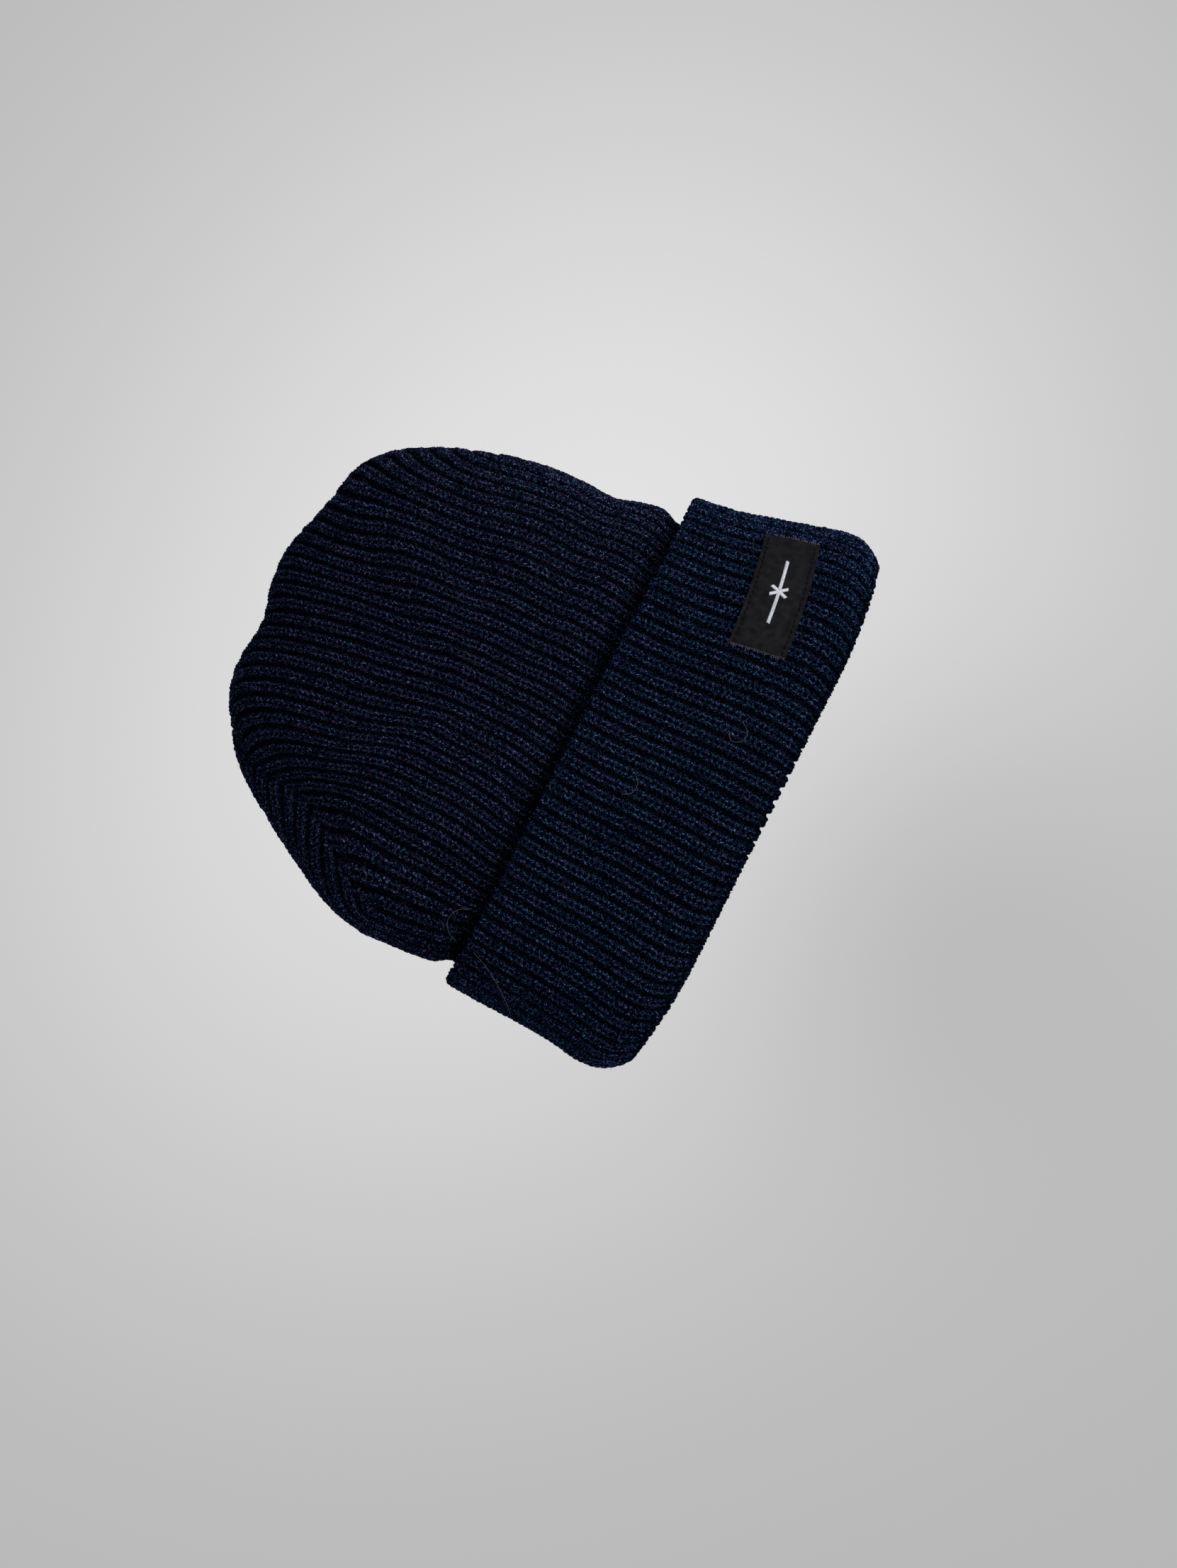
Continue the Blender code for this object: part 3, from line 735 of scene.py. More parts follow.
def tubes(paths, radii, sides):
    """Vertices and triangles of closed round tubes, along paths given as tubes by points by 3."""
    paths = np.asarray(paths, float)
    count, steps = paths.shape[:2]
    tangent = unit(np.gradient(paths, axis=1))
    helper = np.where(np.abs(tangent[:, :1, 2:]) < 0.8, UPRIGHT, np.array([1.0, 0.0, 0.0]))
    side = unit(np.cross(tangent, np.broadcast_to(helper, tangent.shape)))
    other = np.cross(tangent, side)
    turn = np.arange(sides) * 2 * math.pi / sides
    ring = side[:, :, None] * np.cos(turn)[:, None] + other[:, :, None] * np.sin(turn)[:, None]
    radii = np.broadcast_to(radii, (count, steps))
    body = paths[:, :, None] + ring * radii[:, :, None, None]
    ends = np.stack([paths[:, 0], paths[:, -1]], axis=1)
    vertices = np.concatenate([body.reshape(count, -1, 3), ends], axis=1)
    index = grid_index(steps, sides)
    after = np.roll(index, -1, axis=1)
    low = np.stack([index[:-1], after[:-1], after[1:]], axis=-1).reshape(-1, 3)
    high = np.stack([index[:-1], after[1:], index[1:]], axis=-1).reshape(-1, 3)
    first, last = steps * sides, steps * sides + 1
    start = np.stack([np.full(sides, first), after[0], index[0]], axis=-1)
    end = np.stack([np.full(sides, last), index[-1], after[-1]], axis=-1)
    faces = np.concatenate([low, high, start, end])
    shift = (np.arange(count) * vertices.shape[1])[:, None, None]
    return vertices.reshape(-1, 3), (faces[None] + shift).reshape(-1, 3)


def tube_object(name, paths, radii, sides, material):
    vertices, faces = tubes(paths, radii, sides)
    return mesh_object(name, vertices, faces, material)


# ---- woven label on the cuff ----

LABEL_LEFT_RIB = 25.8
LABEL_RIBS = 8.0
LABEL_LOW = 20.6
LABEL_HEIGHT = 21.0
LABEL_CLIMB = 4.0
LABEL_LIFT = 0.35
LABEL_THICKNESS = 0.7
LABEL_WIDTH = 47.0
STITCH_INSET = 1.6


def on_label(across, up, lift):
    """Points on the label: across 0 to 1 along it, up from its lower edge, lift off the ribs of the cuff."""
    across, up, lift = (np.ravel(a) for a in np.broadcast_arrays(across, up, lift))
    near = 0.2
    made = []
    for share, rise, off in zip(across, up, lift):
        rib = LABEL_LEFT_RIB + share * LABEL_RIBS
        height = LABEL_LOW + rise + LABEL_CLIMB * share
        two = cuff_points([rib, rib + near], [0.0, 0.0], [height, height + near])
        normal = unit(np.cross(two[0, 1] - two[0, 0], two[1, 0] - two[0, 0]))
        made.append(two[0, 0] + normal * off)
    return np.array(made)


SHEET_COLUMNS = 97
SHEET_ROWS = 43
SHEET_WAVE = 0.09
SHEET_PUCKER = 0.16
SHEET_PUCKER_WIDTH = 0.7
SHEET_GATHER = 0.5
SHEET_FOLDS = [(0.1, 17.0, 0.35), (0.06, 41.0, -0.8)]  # height, and how fast it waves along and up
SHEET_CORNER = (0.05, 4.0)  # size of the corner that curls: share of the width, and millimetres up
SHEET_CORNER_CURL = 0.5
SHEET_SHARP_ANGLE = math.radians(50)


def sheet_lift(across, up):
    """How far the label stands off the ribs: it sags between them and is pulled in at its stitches."""
    ribs = SHEET_WAVE * np.cos(2 * math.pi * across * LABEL_RIBS)
    edge = np.minimum(np.abs(up - STITCH_INSET), np.abs(LABEL_HEIGHT - STITCH_INSET - up))
    gather = 1 + SHEET_GATHER * np.cos(4 * math.pi * across * LABEL_RIBS)
    pucker = SHEET_PUCKER * bell(edge, SHEET_PUCKER_WIDTH) * gather
    folds = sum(high * np.sin(across * along + up * rising) for high, along, rising in SHEET_FOLDS)
    width, height = SHEET_CORNER
    corner = np.exp(-(((1 - across) / width) ** 2) - ((LABEL_HEIGHT - up) / height) ** 2)
    return LABEL_LIFT + LABEL_THICKNESS + ribs - pucker + folds + SHEET_CORNER_CURL * corner


def sheet_object(name, face, back, across, up, material):
    """A closed sheet from its two faces; across and up are grids of millimetres, for the UV map "weave"."""
    rows, columns = across.shape
    quads = grid_faces(rows, columns)
    index = grid_index(rows, columns)
    rim = np.concatenate([index[0], index[1:, -1], index[-1, -2::-1], index[-2:0:-1, 0]])
    after = np.roll(rim, -1)
    sides = np.stack([rim + index.size, after + index.size, after, rim], axis=-1)
    faces = np.concatenate([quads, quads[:, ::-1] + index.size, sides])
    item = mesh_object(name, np.concatenate([face, back]), faces, material)
    flat = np.stack([across.ravel(), up.ravel()], axis=-1)
    lay_out(item, "weave", np.concatenate([flat, flat]), faces)
    item.data.set_sharp_from_angle(angle=SHEET_SHARP_ANGLE)
    return item


def build_label(material):
    """The label's cloth, which follows the ribs of the cuff."""
    columns = shares(SHEET_COLUMNS)
    across, up = np.meshgrid(columns, np.linspace(0.0, LABEL_HEIGHT, SHEET_ROWS))
    face = on_label(across, up, sheet_lift(across, up))
    back = on_label(across, up, LABEL_LIFT)
    item = sheet_object("label_cloth", face, back, across * LABEL_WIDTH, up, material)
    settle(item, "cuff", "label_satin", "woven_label")


FRAY_THREADS = 46
FRAY_LENGTH = (0.35, 1.5)
FRAY_RADIUS = 0.07
FRAY_DRIFT = (-0.5, 0.5)
FRAY_RISE = (-0.1, 0.5)
FRAY_INSET = 0.3
FRAY_ROOT = 0.5
FRAY_LIFT = 0.45


def build_fray(material):
    """Loose cut ends of the label's own threads along its two short sides."""
    chance = np.random.default_rng(3)
    paths = []
    for end, outward in ((0.0, -1.0), (1.0, 1.0)):
        for up in np.linspace(FRAY_INSET, LABEL_HEIGHT - FRAY_INSET, FRAY_THREADS):
            length = chance.uniform(*FRAY_LENGTH)
            drift = chance.uniform(*FRAY_DRIFT)
            rise = chance.uniform(*FRAY_RISE)
            along = np.linspace(-FRAY_ROOT, length, 4)
            free = np.clip(along, 0, None)
            lift = LABEL_LIFT + FRAY_LIFT + rise * free / FRAY_LENGTH[1]
            paths.append(on_label(end + outward * along / LABEL_WIDTH, up + drift * free, lift))
    item = tube_object("label_frayed_ends", paths, FRAY_RADIUS, 5, material)
    settle(item, "cuff", "label_satin")


STITCH_RADIUS = 0.27
STITCHES = 21
STITCH_SHARE = 0.66  # of a stitch's pitch that lies on the face of the label
STITCH_MARGIN = 0.015  # share of the label's width that is left free at both ends
STITCH_STRAY = 0.12
STITCH_SLANT = 0.08
STITCH_DIP = 0.25
STITCH_ARCH = STITCH_RADIUS + 0.3


def build_label_stitches(edge, up, material):
    """A row of running stitches that dip into the label at both ends."""
    chance = np.random.default_rng(int(up * 10))
    pitch = (1 - 2 * STITCH_MARGIN) / STITCHES
    arch = np.sin(np.linspace(0.0, math.pi, 9)) ** 0.6
    paths = []
    for i in range(STITCHES):
        across = STITCH_MARGIN + i * pitch + shares(9) * pitch * STITCH_SHARE
        rise = up + chance.uniform(-STITCH_STRAY, STITCH_STRAY) + np.linspace(-STITCH_SLANT, STITCH_SLANT, 9)
        lift = sheet_lift(across, rise) - STITCH_DIP + arch * STITCH_ARCH
        paths.append(on_label(across, rise, lift))
    item = tube_object(f"label_stitching_{edge}", paths, STITCH_RADIUS, 8, material)
    settle(item, "cuff", "black_thread", f"label_stitch_{edge}")


MOTIF_ARM = 3.4
MOTIF_BAR = 13.0
MOTIF_HALF_WIDTH = 0.55
SATIN_PITCH = 0.27
SATIN_RADIUS = 0.17
SATIN_HEIGHT = 0.3
SATIN_SLANT = 0.3
SATIN_DIP = 0.1


def build_motif(material):
    """A six-armed flake and two bars in satin stitch: short threads laid side by side across each arm."""
    paths = []
    for arm in range(6):
        angle = math.radians(60 * arm)
        out = np.array([math.cos(angle), math.sin(angle)])
        aside = np.array([-out[1], out[0]])
        reach = MOTIF_BAR if arm % 3 == 0 else MOTIF_ARM
        for place in np.arange(SATIN_PITCH / 2, reach, SATIN_PITCH):
            width = np.linspace(-1.0, 1.0, 7)[:, None] * MOTIF_HALF_WIDTH
            spot = out * place + aside * width + out * width * SATIN_SLANT
            up = LABEL_HEIGHT / 2 + spot[:, 1]
            across = 0.5 + spot[:, 0] / LABEL_WIDTH
            arch = np.sqrt(np.clip(1 - np.linspace(-0.99, 0.99, 7) ** 2, 0, 1))
            paths.append(on_label(across, up, sheet_lift(across, up) - SATIN_DIP + SATIN_HEIGHT * arch))
    item = tube_object("label_motif_thread", paths, SATIN_RADIUS, 6, material)
    settle(item, "cuff", "white_thread", "label_motif")


# ---- seams and care label on the inside ----

RIDGE_HALF_WIDTH = 1.9
RIDGE_HALF_HEIGHT = 1.15
RIDGE_STITCH = 2.1
RIDGE_SIDES = 16
RIDGE_STEP = 0.35
RIDGE_TWIST = 0.16
RIDGE_TAPER = 1.2  # the ends close over this length, down to this share
RIDGE_TIP = 0.02
RIDGE_INSET = 0.6  # ribs left free at both ends of the crown seam
CROWN_RIDGE_DEPTH = 5.0  # how far the ridges lie behind the outer face
SIDE_RIDGE_DEPTH = 4.4
SIDE_RIDGE_HEIGHTS = (12.0, 113.0)
SIDE_RIDGE_POINTS = 60
CUFF_RIDGE_DEPTH = KNIT_THICKNESS + 0.9
CUFF_RIDGE_HEIGHTS = (15.0, 71.0)
CUFF_RIDGE_POINTS = 40


def ridge_object(name, line, outward, material):
    """A stitched seam ridge along a line: a flat oval section with a slanted whipped thread round it."""
    length = running_length(line)
    places = np.linspace(0.0, length[-1], int(length[-1] / RIDGE_STEP))
    path = at_lengths(line, length, places)
    up = unit(at_lengths(outward, length, places))
    along = unit(np.gradient(path, axis=0))
    side = unit(np.cross(along, up))
    turn = np.arange(RIDGE_SIDES) * 2 * math.pi / RIDGE_SIDES
    phase = places[:, None] / RIDGE_STITCH * 2 * math.pi + turn
    swell = 1 + RIDGE_TWIST * np.abs(np.sin(phase / 2))
    close = np.clip(np.minimum(places, length[-1] - places) / RIDGE_TAPER, RIDGE_TIP, 1.0)[:, None] ** 0.5
    across = RIDGE_HALF_WIDTH * np.cos(turn) * swell * close
    high = RIDGE_HALF_HEIGHT * np.sin(turn) * swell * close
    rings = path[:, None] + side[:, None] * across[..., None] + up[:, None] * high[..., None]
    index = grid_index(len(places), RIDGE_SIDES)
    after = np.roll(index, -1, axis=1)
    faces = np.stack([index[:-1], after[:-1], after[1:], index[1:]], axis=-1).reshape(-1, 4)
    return mesh_object(name, rings.reshape(-1, 3), faces, material)


def build_crown_ridge(material):
    lines = np.linspace(RIDGE_INSET, PANEL_RIBS - RIDGE_INSET, 160)
    near, mirror = (crown_points(ribs, [0.98, 1.0]) for ribs in (lines, RIBS - lines))
    end = near[:, 1]
    along = np.gradient(end, axis=0)
    outward = end - np.array([CROWN_CENTRE_X, 0.0, CROWN_BASE])
    total = np.zeros_like(end)
    for panel in (near, mirror):
        normal = unit(np.cross(along, panel[:, 1] - panel[:, 0]))
        total += normal * np.sign(np.sum(normal * outward, axis=1))[:, None]
    up = unit(total)
    item = ridge_object("crown_seam_ridge", end - up * CROWN_RIDGE_DEPTH, up, material)
    settle(item, "body", "seam_thread", "crown_seam")


def upright_ridge(name, face, depth, material):
    """A ridge up the side seam, this far behind the middle one of three lines on the knit."""
    up = unit(np.cross(face[:, 2] - face[:, 0], UPRIGHT))
    return ridge_object(name, face[:, 1] - up * depth, up, material)


def build_side_ridges(material):
    beside = PANEL_RIBS + np.array([-0.5, 0.0, 0.5])
    heights = np.linspace(*SIDE_RIDGE_HEIGHTS, SIDE_RIDGE_POINTS)
    on_body = upright_ridge("side_seam_ridge", body_points(beside, heights), SIDE_RIDGE_DEPTH, material)
    settle(on_body, STRETCHED, "seam_thread", "side_seam")
    heights = np.linspace(*CUFF_RIDGE_HEIGHTS, CUFF_RIDGE_POINTS)
    face = cuff_points(beside, np.full(len(heights), CUFF_RIDGE_DEPTH), heights)
    on_cuff = upright_ridge("cuff_seam_ridge", face, 0.0, material)
    settle(on_cuff, "cuff", "seam_thread", "cuff_side_seam")


def box_of(node):
    """Low and high corner of a CAD node, in pattern millimetres."""
    return [np.array(corner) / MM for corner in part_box(node)]


TACK_TURNS = 7
TACK_RADIUS = 0.45
TACK_TAPER = 0.9
TACK_FILL = 0.75  # share of its CAD box that the knot's middle line takes


def build_tack(material):
    """The knot at the left end of the crown seam: a few turns of yarn."""
    low, high = box_of("dart_tack")
    middle, half = (low + high) / 2, (high - low) / 2
    turns = shares(160)
    angle = turns * 2 * math.pi * TACK_TURNS
    swell = np.sqrt(np.clip(1 - (2 * turns - 1) ** 2 * TACK_TAPER, 0, 1))
    loop = np.stack([np.cos(angle) * half[0] * swell, np.sin(angle) * half[1] * swell], axis=-1) * TACK_FILL
    path = np.column_stack([middle[:2] + loop, low[2] + 2 * half[2] * turns])
    item = tube_object("dart_tack_knot", [path], TACK_RADIUS, 8, material)
    settle(item, "body", "seam_thread", "dart_tack")


CARE_COLUMNS = 41
CARE_ROWS = 33
CARE_WAVE = 0.45
CARE_RIPPLE = 0.2
CARE_HALF_THICKNESS = 0.24
CARE_GAP = 0.7
CARE_MARGIN = 0.2
CARE_STITCHES = 14
CARE_COIL = 0.3
CARE_THREAD_RADIUS = 0.26


def build_care_label(cloth, thread):
    """A blank tab of satin tape on its sewn edge, with a soft bow in it, and the thread that holds it."""
    low, high = box_of("care_label")
    stitch_low, stitch_high = box_of("care_label_stitch")
    hinge = (stitch_low + stitch_high) / 2
    corners = np.array([(low[0], low[1]), (low[0], high[1]), (high[0], low[1]), (high[0], high[1])])
    gap = np.linalg.norm(corners - hinge[:2], axis=1)
    width, height = gap.max(), high[2] - low[2]
    along = (corners[gap.argmax()] - hinge[:2]) / width
    aside = np.array([-along[1], along[0]])
    columns = shares(CARE_COLUMNS)
    share, rise = np.meshgrid(columns, shares(CARE_ROWS))
    reach = CARE_GAP + share * (width - CARE_GAP - CARE_MARGIN)
    bow = CARE_WAVE * np.sin(math.pi * share) * np.sin(2.2 * rise + 1.0)
    bow += CARE_RIPPLE * np.sin(6.0 * share + 4.0 * rise)
    faces = []
    for half in (CARE_HALF_THICKNESS, -CARE_HALF_THICKNESS):
        off = (bow + half) * np.clip(share * 4, 0.3, 1)
        plane = hinge[:2] + along * reach[..., None] + aside * off[..., None]
        faces.append(np.dstack([plane, low[2] + rise * height]).reshape(-1, 3))
    tab = sheet_object("care_tab", *faces, share * width, rise * height, cloth)
    settle(tab, "care_label", "care_tape", "care_label")

    coil = shares(300)
    angle = coil * 2 * math.pi * CARE_STITCHES
    round_x = hinge[0] + CARE_COIL * np.cos(angle)
    round_y = hinge[1] + CARE_COIL * np.sin(angle)
    path = np.column_stack([round_x, round_y, stitch_low[2] + coil * (stitch_high[2] - stitch_low[2])])
    sewn = tube_object("care_tab_sewing", [path], CARE_THREAD_RADIUS, 7, thread)
    settle(sewn, "body", "white_thread", "care_label_stitch")


# ---- fuzz ----

# Fuzz and lint: name, body that carries it, number of fibres, seed
FUZZ = [("body_fuzz", "body", 9000, 21), ("cuff_fuzz", "cuff", 7000, 22)]
LINT = [("body_lint", "body", 90, 23), ("cuff_lint", "cuff", 90, 24)]
FUZZ_RADIUS = 0.022
FUZZ_TIP = 0.4  # radius of a fibre's tip, next to its root
FUZZ_LENGTH = (0.9, 2.6)
FUZZ_RISE = (0.15, 0.55)
FUZZ_CURL = 0.3
FUZZ_ROOT = 0.15


def vertex_field(pieces, field):
    """A three-part field of all vertices of these pieces, such as co or normal."""
    found = []
    for piece in pieces:
        values = np.zeros(len(piece.data.vertices) * 3, np.float32)
        piece.data.vertices.foreach_get(field, values)
        found.append(values.reshape(-1, 3))
    return np.concatenate(found)


def build_fuzz(name, body, count, seed, mesh_pieces, material):
    """Fine loose fibres standing on the knit, each a curved hair rooted just under the face of a rib."""
    chance = np.random.default_rng(seed)
    points, normals = (vertex_field(mesh_pieces, field) for field in ("co", "normal"))
    points = points / MM
    chosen = chance.choice(len(points), count, replace=False)
    root, up = points[chosen].astype(float), unit(normals[chosen].astype(float))
    lean = unit(np.cross(up, unit(chance.normal(size=(count, 3)))))
    length = chance.uniform(*FUZZ_LENGTH, size=(count, 1))
    rise = chance.uniform(*FUZZ_RISE, size=(count, 1))
    curl = unit(chance.normal(size=(count, 3))) * FUZZ_CURL
    share = shares(5)[None, :, None]
    root, up, lean, length, rise, curl = (field[:, None] for field in (root, up, lean, length, rise, curl))
    arc = lean * share + up * rise * share * (1.6 - share) + curl * share**2
    path = root - up * FUZZ_ROOT + arc * length
    radii = FUZZ_RADIUS * np.linspace(1.0, FUZZ_TIP, 5)[None]
    item = tube_object(name, path, radii, 3, material)
    settle(item, body, "navy_yarn")


# Long loose hairs: name, body that carries them, their points as x and z on the front, in the part's frame
HAIRS = [
    ("body_hair", "body", [(-77.0, 82.0), (-80.0, 86.5), (-85.0, 88.0), (-89.0, 85.5), (-90.5, 82.0)]),
    ("cuff_hair_left", "cuff", [(-91.0, 74.0), (-93.5, 68.0), (-98.0, 61.0), (-103.0, 55.0), (-106, 52.5)]),
    ("cuff_hair_label", "cuff", [(28.0, 24.0), (25.0, 20.5), (21.5, 21.0), (20.0, 24.5), (23.0, 27.0)]),
    ("cuff_hair_middle", "cuff", [(-6.0, 50.0), (-9.0, 47.5), (-13.0, 48.0), (-15.0, 51.0)]),
]
HAIR_RADIUS = 0.05
HAIR_LIFT = 1.1
HAIR_POINTS = 41


def front_face(body, x, z):
    """Depth of the front of the body or the cuff at these places."""
    if body == "cuff":
        left, right, depth = through(CUFF_SECTIONS, z / CUFF_HEIGHT).T
    else:
        left, right, depth = through(BODY_SECTIONS, z).T
    share = np.clip(np.abs(2 * x - left - right) / (right - left), 0.0, 1.0)
    return -depth * (1 - share**SECTION_EXPONENT) ** (1 / SECTION_EXPONENT)


def build_hairs(material):
    for name, body, spots in HAIRS:
        keys = [(i, *spot) for i, spot in enumerate(spots)]
        x, z = through(keys, np.linspace(0.0, len(spots) - 1, HAIR_POINTS)).T
        path = np.column_stack([x, front_face(body, x, z) - HAIR_LIFT, z])
        item = tube_object(name, [path], HAIR_RADIUS, 6, material)
        settle(item, body, "navy_yarn")


# ---- materials ----


class Wiring:
    """Short calls for building a node tree."""

    def __init__(self, tree):
        self.tree = tree

    def feed(self, node, inputs):
        """Sets or links inputs of a node, given as a table from input to value or socket."""
        for key, value in inputs.items():
            if isinstance(value, bpy.types.NodeSocket):
                self.tree.links.new(value, node.inputs[key])
            else:
                node.inputs[key].default_value = value
        return node

    def node(self, kind, inputs=None, **settings):
        made = self.tree.nodes.new(kind)
        for key, value in settings.items():
            setattr(made, key, value)
        return self.feed(made, inputs or {})

    def place(self):
        return self.node("ShaderNodeTexCoord").outputs["Object"]

    def uv(self, name):
        """The two parts of a UV map."""
        vector = self.node("ShaderNodeUVMap", uv_map=name).outputs["UV"]
        return self.node("ShaderNodeSeparateXYZ", {"Vector": vector}).outputs[:2]

    def seen_by_camera(self):
        return self.node("ShaderNodeLightPath").outputs["Is Camera Ray"]

    def maths(self, operation, *values):
        return self.node("ShaderNodeMath", dict(enumerate(values)), operation=operation).outputs[0]

    def times(self, first, second):
        return self.maths("MULTIPLY", first, second)

    def plus(self, first, second):
        return self.maths("ADD", first, second)

    def minus(self, first, second):
        return self.maths("SUBTRACT", first, second)

    def between(self, value, low, high, to_low=0.0, to_high=1.0):
        inputs = {"Value": value, "From Min": low, "From Max": high, "To Min": to_low, "To Max": to_high}
        return self.node("ShaderNodeMapRange", inputs).outputs["Result"]

    def mix(self, factor, first, second, blend="MIX"):
        inputs = {0: factor, 6: first, 7: second}
        return self.node("ShaderNodeMix", inputs, data_type="RGBA", blend_type=blend).outputs[2]

    def scaled(self, colour, factor):
        """The colour times one number."""
        grey = self.node("ShaderNodeCombineXYZ", {"X": factor, "Y": factor, "Z": factor}).outputs[0]
        return self.mix(1.0, colour, grey, "MULTIPLY")

    def noise(self, vector, scale, detail=2.0):
        inputs = {"Vector": vector, "Scale": scale, "Detail": detail}
        return self.node("ShaderNodeTexNoise", inputs).outputs["Fac"]


def new_material(name):
    material = bpy.data.materials.new(name)
    material.use_nodes = True
    return material, Wiring(material.node_tree), material.node_tree.nodes["Principled BSDF"]


def finish(w, shader, colour, roughness, specular, height, strength, distance):
    """Wires the colour, the gloss and a bump of this height into a shader."""
    bump = w.node("ShaderNodeBump", {"Height": height, "Strength": strength, "Distance": distance})
    inputs = {
        "Base Color": colour,
        "Roughness": roughness,
        "Specular IOR Level": specular,
        "Normal": bump.outputs["Normal"],
    }
    w.feed(shader, inputs)


YARN_DARK = (0.0010, 0.0018, 0.0056, 1.0)
YARN_MIDDLE = (0.0044, 0.0075, 0.0212, 1.0)
YARN_LIGHT_TEAL = (0.1320, 0.2360, 0.4250, 1.0)
YARN_LIGHT_PLUM = (0.2150, 0.2060, 0.4450, 1.0)
YARN_TEAL = (0.0045, 0.0180, 0.0350, 1.0)
YARN_PLUM = (0.0160, 0.0130, 0.0390, 1.0)
YARN_ROUGHNESS = 0.85
YARN_CLOUDS = (0.6, 0.6, 0.62, 1.0)
BODY_TINT = (0.98, 0.98, 1.03, 1.0)
CUFF_TINT = (0.76, 1.03, 1.14, 1.0)
FIBRES_ACROSS = 20.0  # noise cells of the fibres across a rib
FIBRES_ALONG = 2.6  # and along a stitch
RIB_SHIFT = 3.71  # moves the noise from rib to rib, and between the two sides of a rib
SIDE_SHIFT = 1.3
GROOVE_SHADE = 0.13  # painted shade: how dark the grooves are painted next to the crests
GROOVE_SHADE_DEPTHS = (-1.55, -0.10)


def yarn_material(name, tint):
    """Heathered wool: fibres along the legs of the stitches, flecks of other colours, and slow clouds, with
    painted shade in the grooves.
    """
    material, w, shader = new_material(name)
    u, v = w.uv("knit")
    place = w.place()
    offset = w.minus(w.maths("FRACT", u), 0.5)
    away = w.maths("ABSOLUTE", offset)
    along = w.minus(w.maths("FRACT", v), 0.5)
    slid = w.minus(away, w.times(along, LEG_SLANT))
    rib_shift = w.times(w.maths("FLOOR", u), RIB_SHIFT)
    side_shift = w.times(w.maths("SIGN", offset), SIDE_SHIFT)
    inputs = {
        "X": w.times(slid, FIBRES_ACROSS),
        "Y": w.times(v, FIBRES_ALONG),
        "Z": w.plus(rib_shift, side_shift),
    }
    fibre_place = w.node("ShaderNodeCombineXYZ", inputs).outputs[0]
    fibres = w.noise(fibre_place, 1.5, 3.0)
    flecks = w.noise(fibre_place, 1.1, 2.0)
    shades = w.noise(place, 420.0, 2.0)
    stitches = w.noise(fibre_place, 0.25, 1.0)
    clouds = w.noise(place, 45.0, 2.0)
    grain = w.noise(place, 3000.0, 2.0)
    specks = w.noise(place, 1700.0, 1.0)
    colour = w.mix(w.between(fibres, 0.35, 0.68), YARN_DARK, YARN_MIDDLE)
    colour = w.mix(w.between(stitches, 0.50, 0.72, 0.0, 0.7), colour, YARN_TEAL)
    colour = w.mix(w.between(shades, 0.52, 0.72, 0.0, 0.7), colour, YARN_PLUM)
    light = w.times(w.between(flecks, 0.47, 0.62), w.between(specks, 0.50, 0.62))
    pale = w.mix(w.between(shades, 0.44, 0.56), YARN_LIGHT_TEAL, YARN_LIGHT_PLUM)
    colour = w.mix(light, colour, pale)
    colour = w.scaled(colour, w.between(grain, 0.36, 0.62, 0.25, 1.9))
    colour = w.mix(w.between(clouds, 0.35, 0.65, 0.0, 0.35), colour, YARN_CLOUDS, "MULTIPLY")
    colour = w.mix(1.0, colour, tint, "MULTIPLY")
    # Painted shade: the colour darkens down the grooves by the relief attribute, which also carries the
    # painted crease and edge shade
    relief = w.node("ShaderNodeAttribute", attribute_name="relief").outputs["Fac"]
    colour = w.scaled(colour, w.between(relief, *GROOVE_SHADE_DEPTHS, GROOVE_SHADE, 1.0))
    height = w.plus(w.times(fibres, 0.7), w.times(grain, 0.3))
    finish(w, shader, colour, YARN_ROUGHNESS, 0.0, height, 0.8, 0.0005)
    shader.inputs["IOR"].default_value = 1.0
    return material


def plain_thread(name, colour, roughness, specular=0.3):
    """Thread in one colour, with a fine uneven tone and bump."""
    material, w, shader = new_material(name)
    grain = w.noise(w.place(), 2400.0, 2.0)
    colour = w.scaled(colour, w.between(grain, 0.3, 0.7, 0.7, 1.15))
    finish(w, shader, colour, roughness, specular, grain, 0.4, 0.0002)
    return material


CLOTH_SPECULAR = 0.09


def woven_cloth(name, colour, lines_per_mm, roughness):
    """Fine woven tape: slanting twill lines in tone and bump, laid out by the UV map "weave" in mm."""
    material, w, shader = new_material(name)
    across, up = w.uv("weave")
    slant = w.plus(w.times(across, 0.8), up)
    twill = w.maths("SINE", w.times(slant, lines_per_mm * 2 * math.pi))
    thread = w.maths("SINE", w.times(up, lines_per_mm * 4.1 * math.pi))
    weave = w.plus(w.times(twill, 0.6), w.times(thread, 0.4))
    uneven = w.noise(w.place(), 420.0, 4.0)
    tone = w.plus(w.between(weave, -1.0, 1.0, 0.5, 1.2), w.between(uneven, 0.35, 0.65, -0.45, 0.55))
    finish(w, shader, w.scaled(colour, tone), roughness, CLOTH_SPECULAR, weave, 0.5, 0.00012)
    return material


# ---- studio ----

PICTURE_TILT = math.radians(63.1)  # the hat lies on its side in the picture
AIM = Vector((-0.017, -0.015, 0.065))
CAMERA_DISTANCE = 1.044
CAMERA_RISE = math.radians(-3.7)
LENS = 65.0
SENSOR = 36.0


def across_picture(right, up, towards):
    """A direction given in the picture's own terms: right, up, and towards the camera."""
    sine, cosine = math.sin(PICTURE_TILT), math.cos(PICTURE_TILT)
    picture_up = Vector((sine, 0.0, cosine))
    picture_right = Vector((cosine, 0.0, -sine))
    return picture_right * right + picture_up * up + Vector((0.0, -1.0, 0.0)) * towards


def aim_at(item, target, up):
    back = (item.location - target).normalized()
    side = up.cross(back).normalized()
    above = back.cross(side)
    turn = Matrix((side, above, back)).transposed()
    item.rotation_mode = "QUATERNION"
    item.rotation_quaternion = turn.to_quaternion()


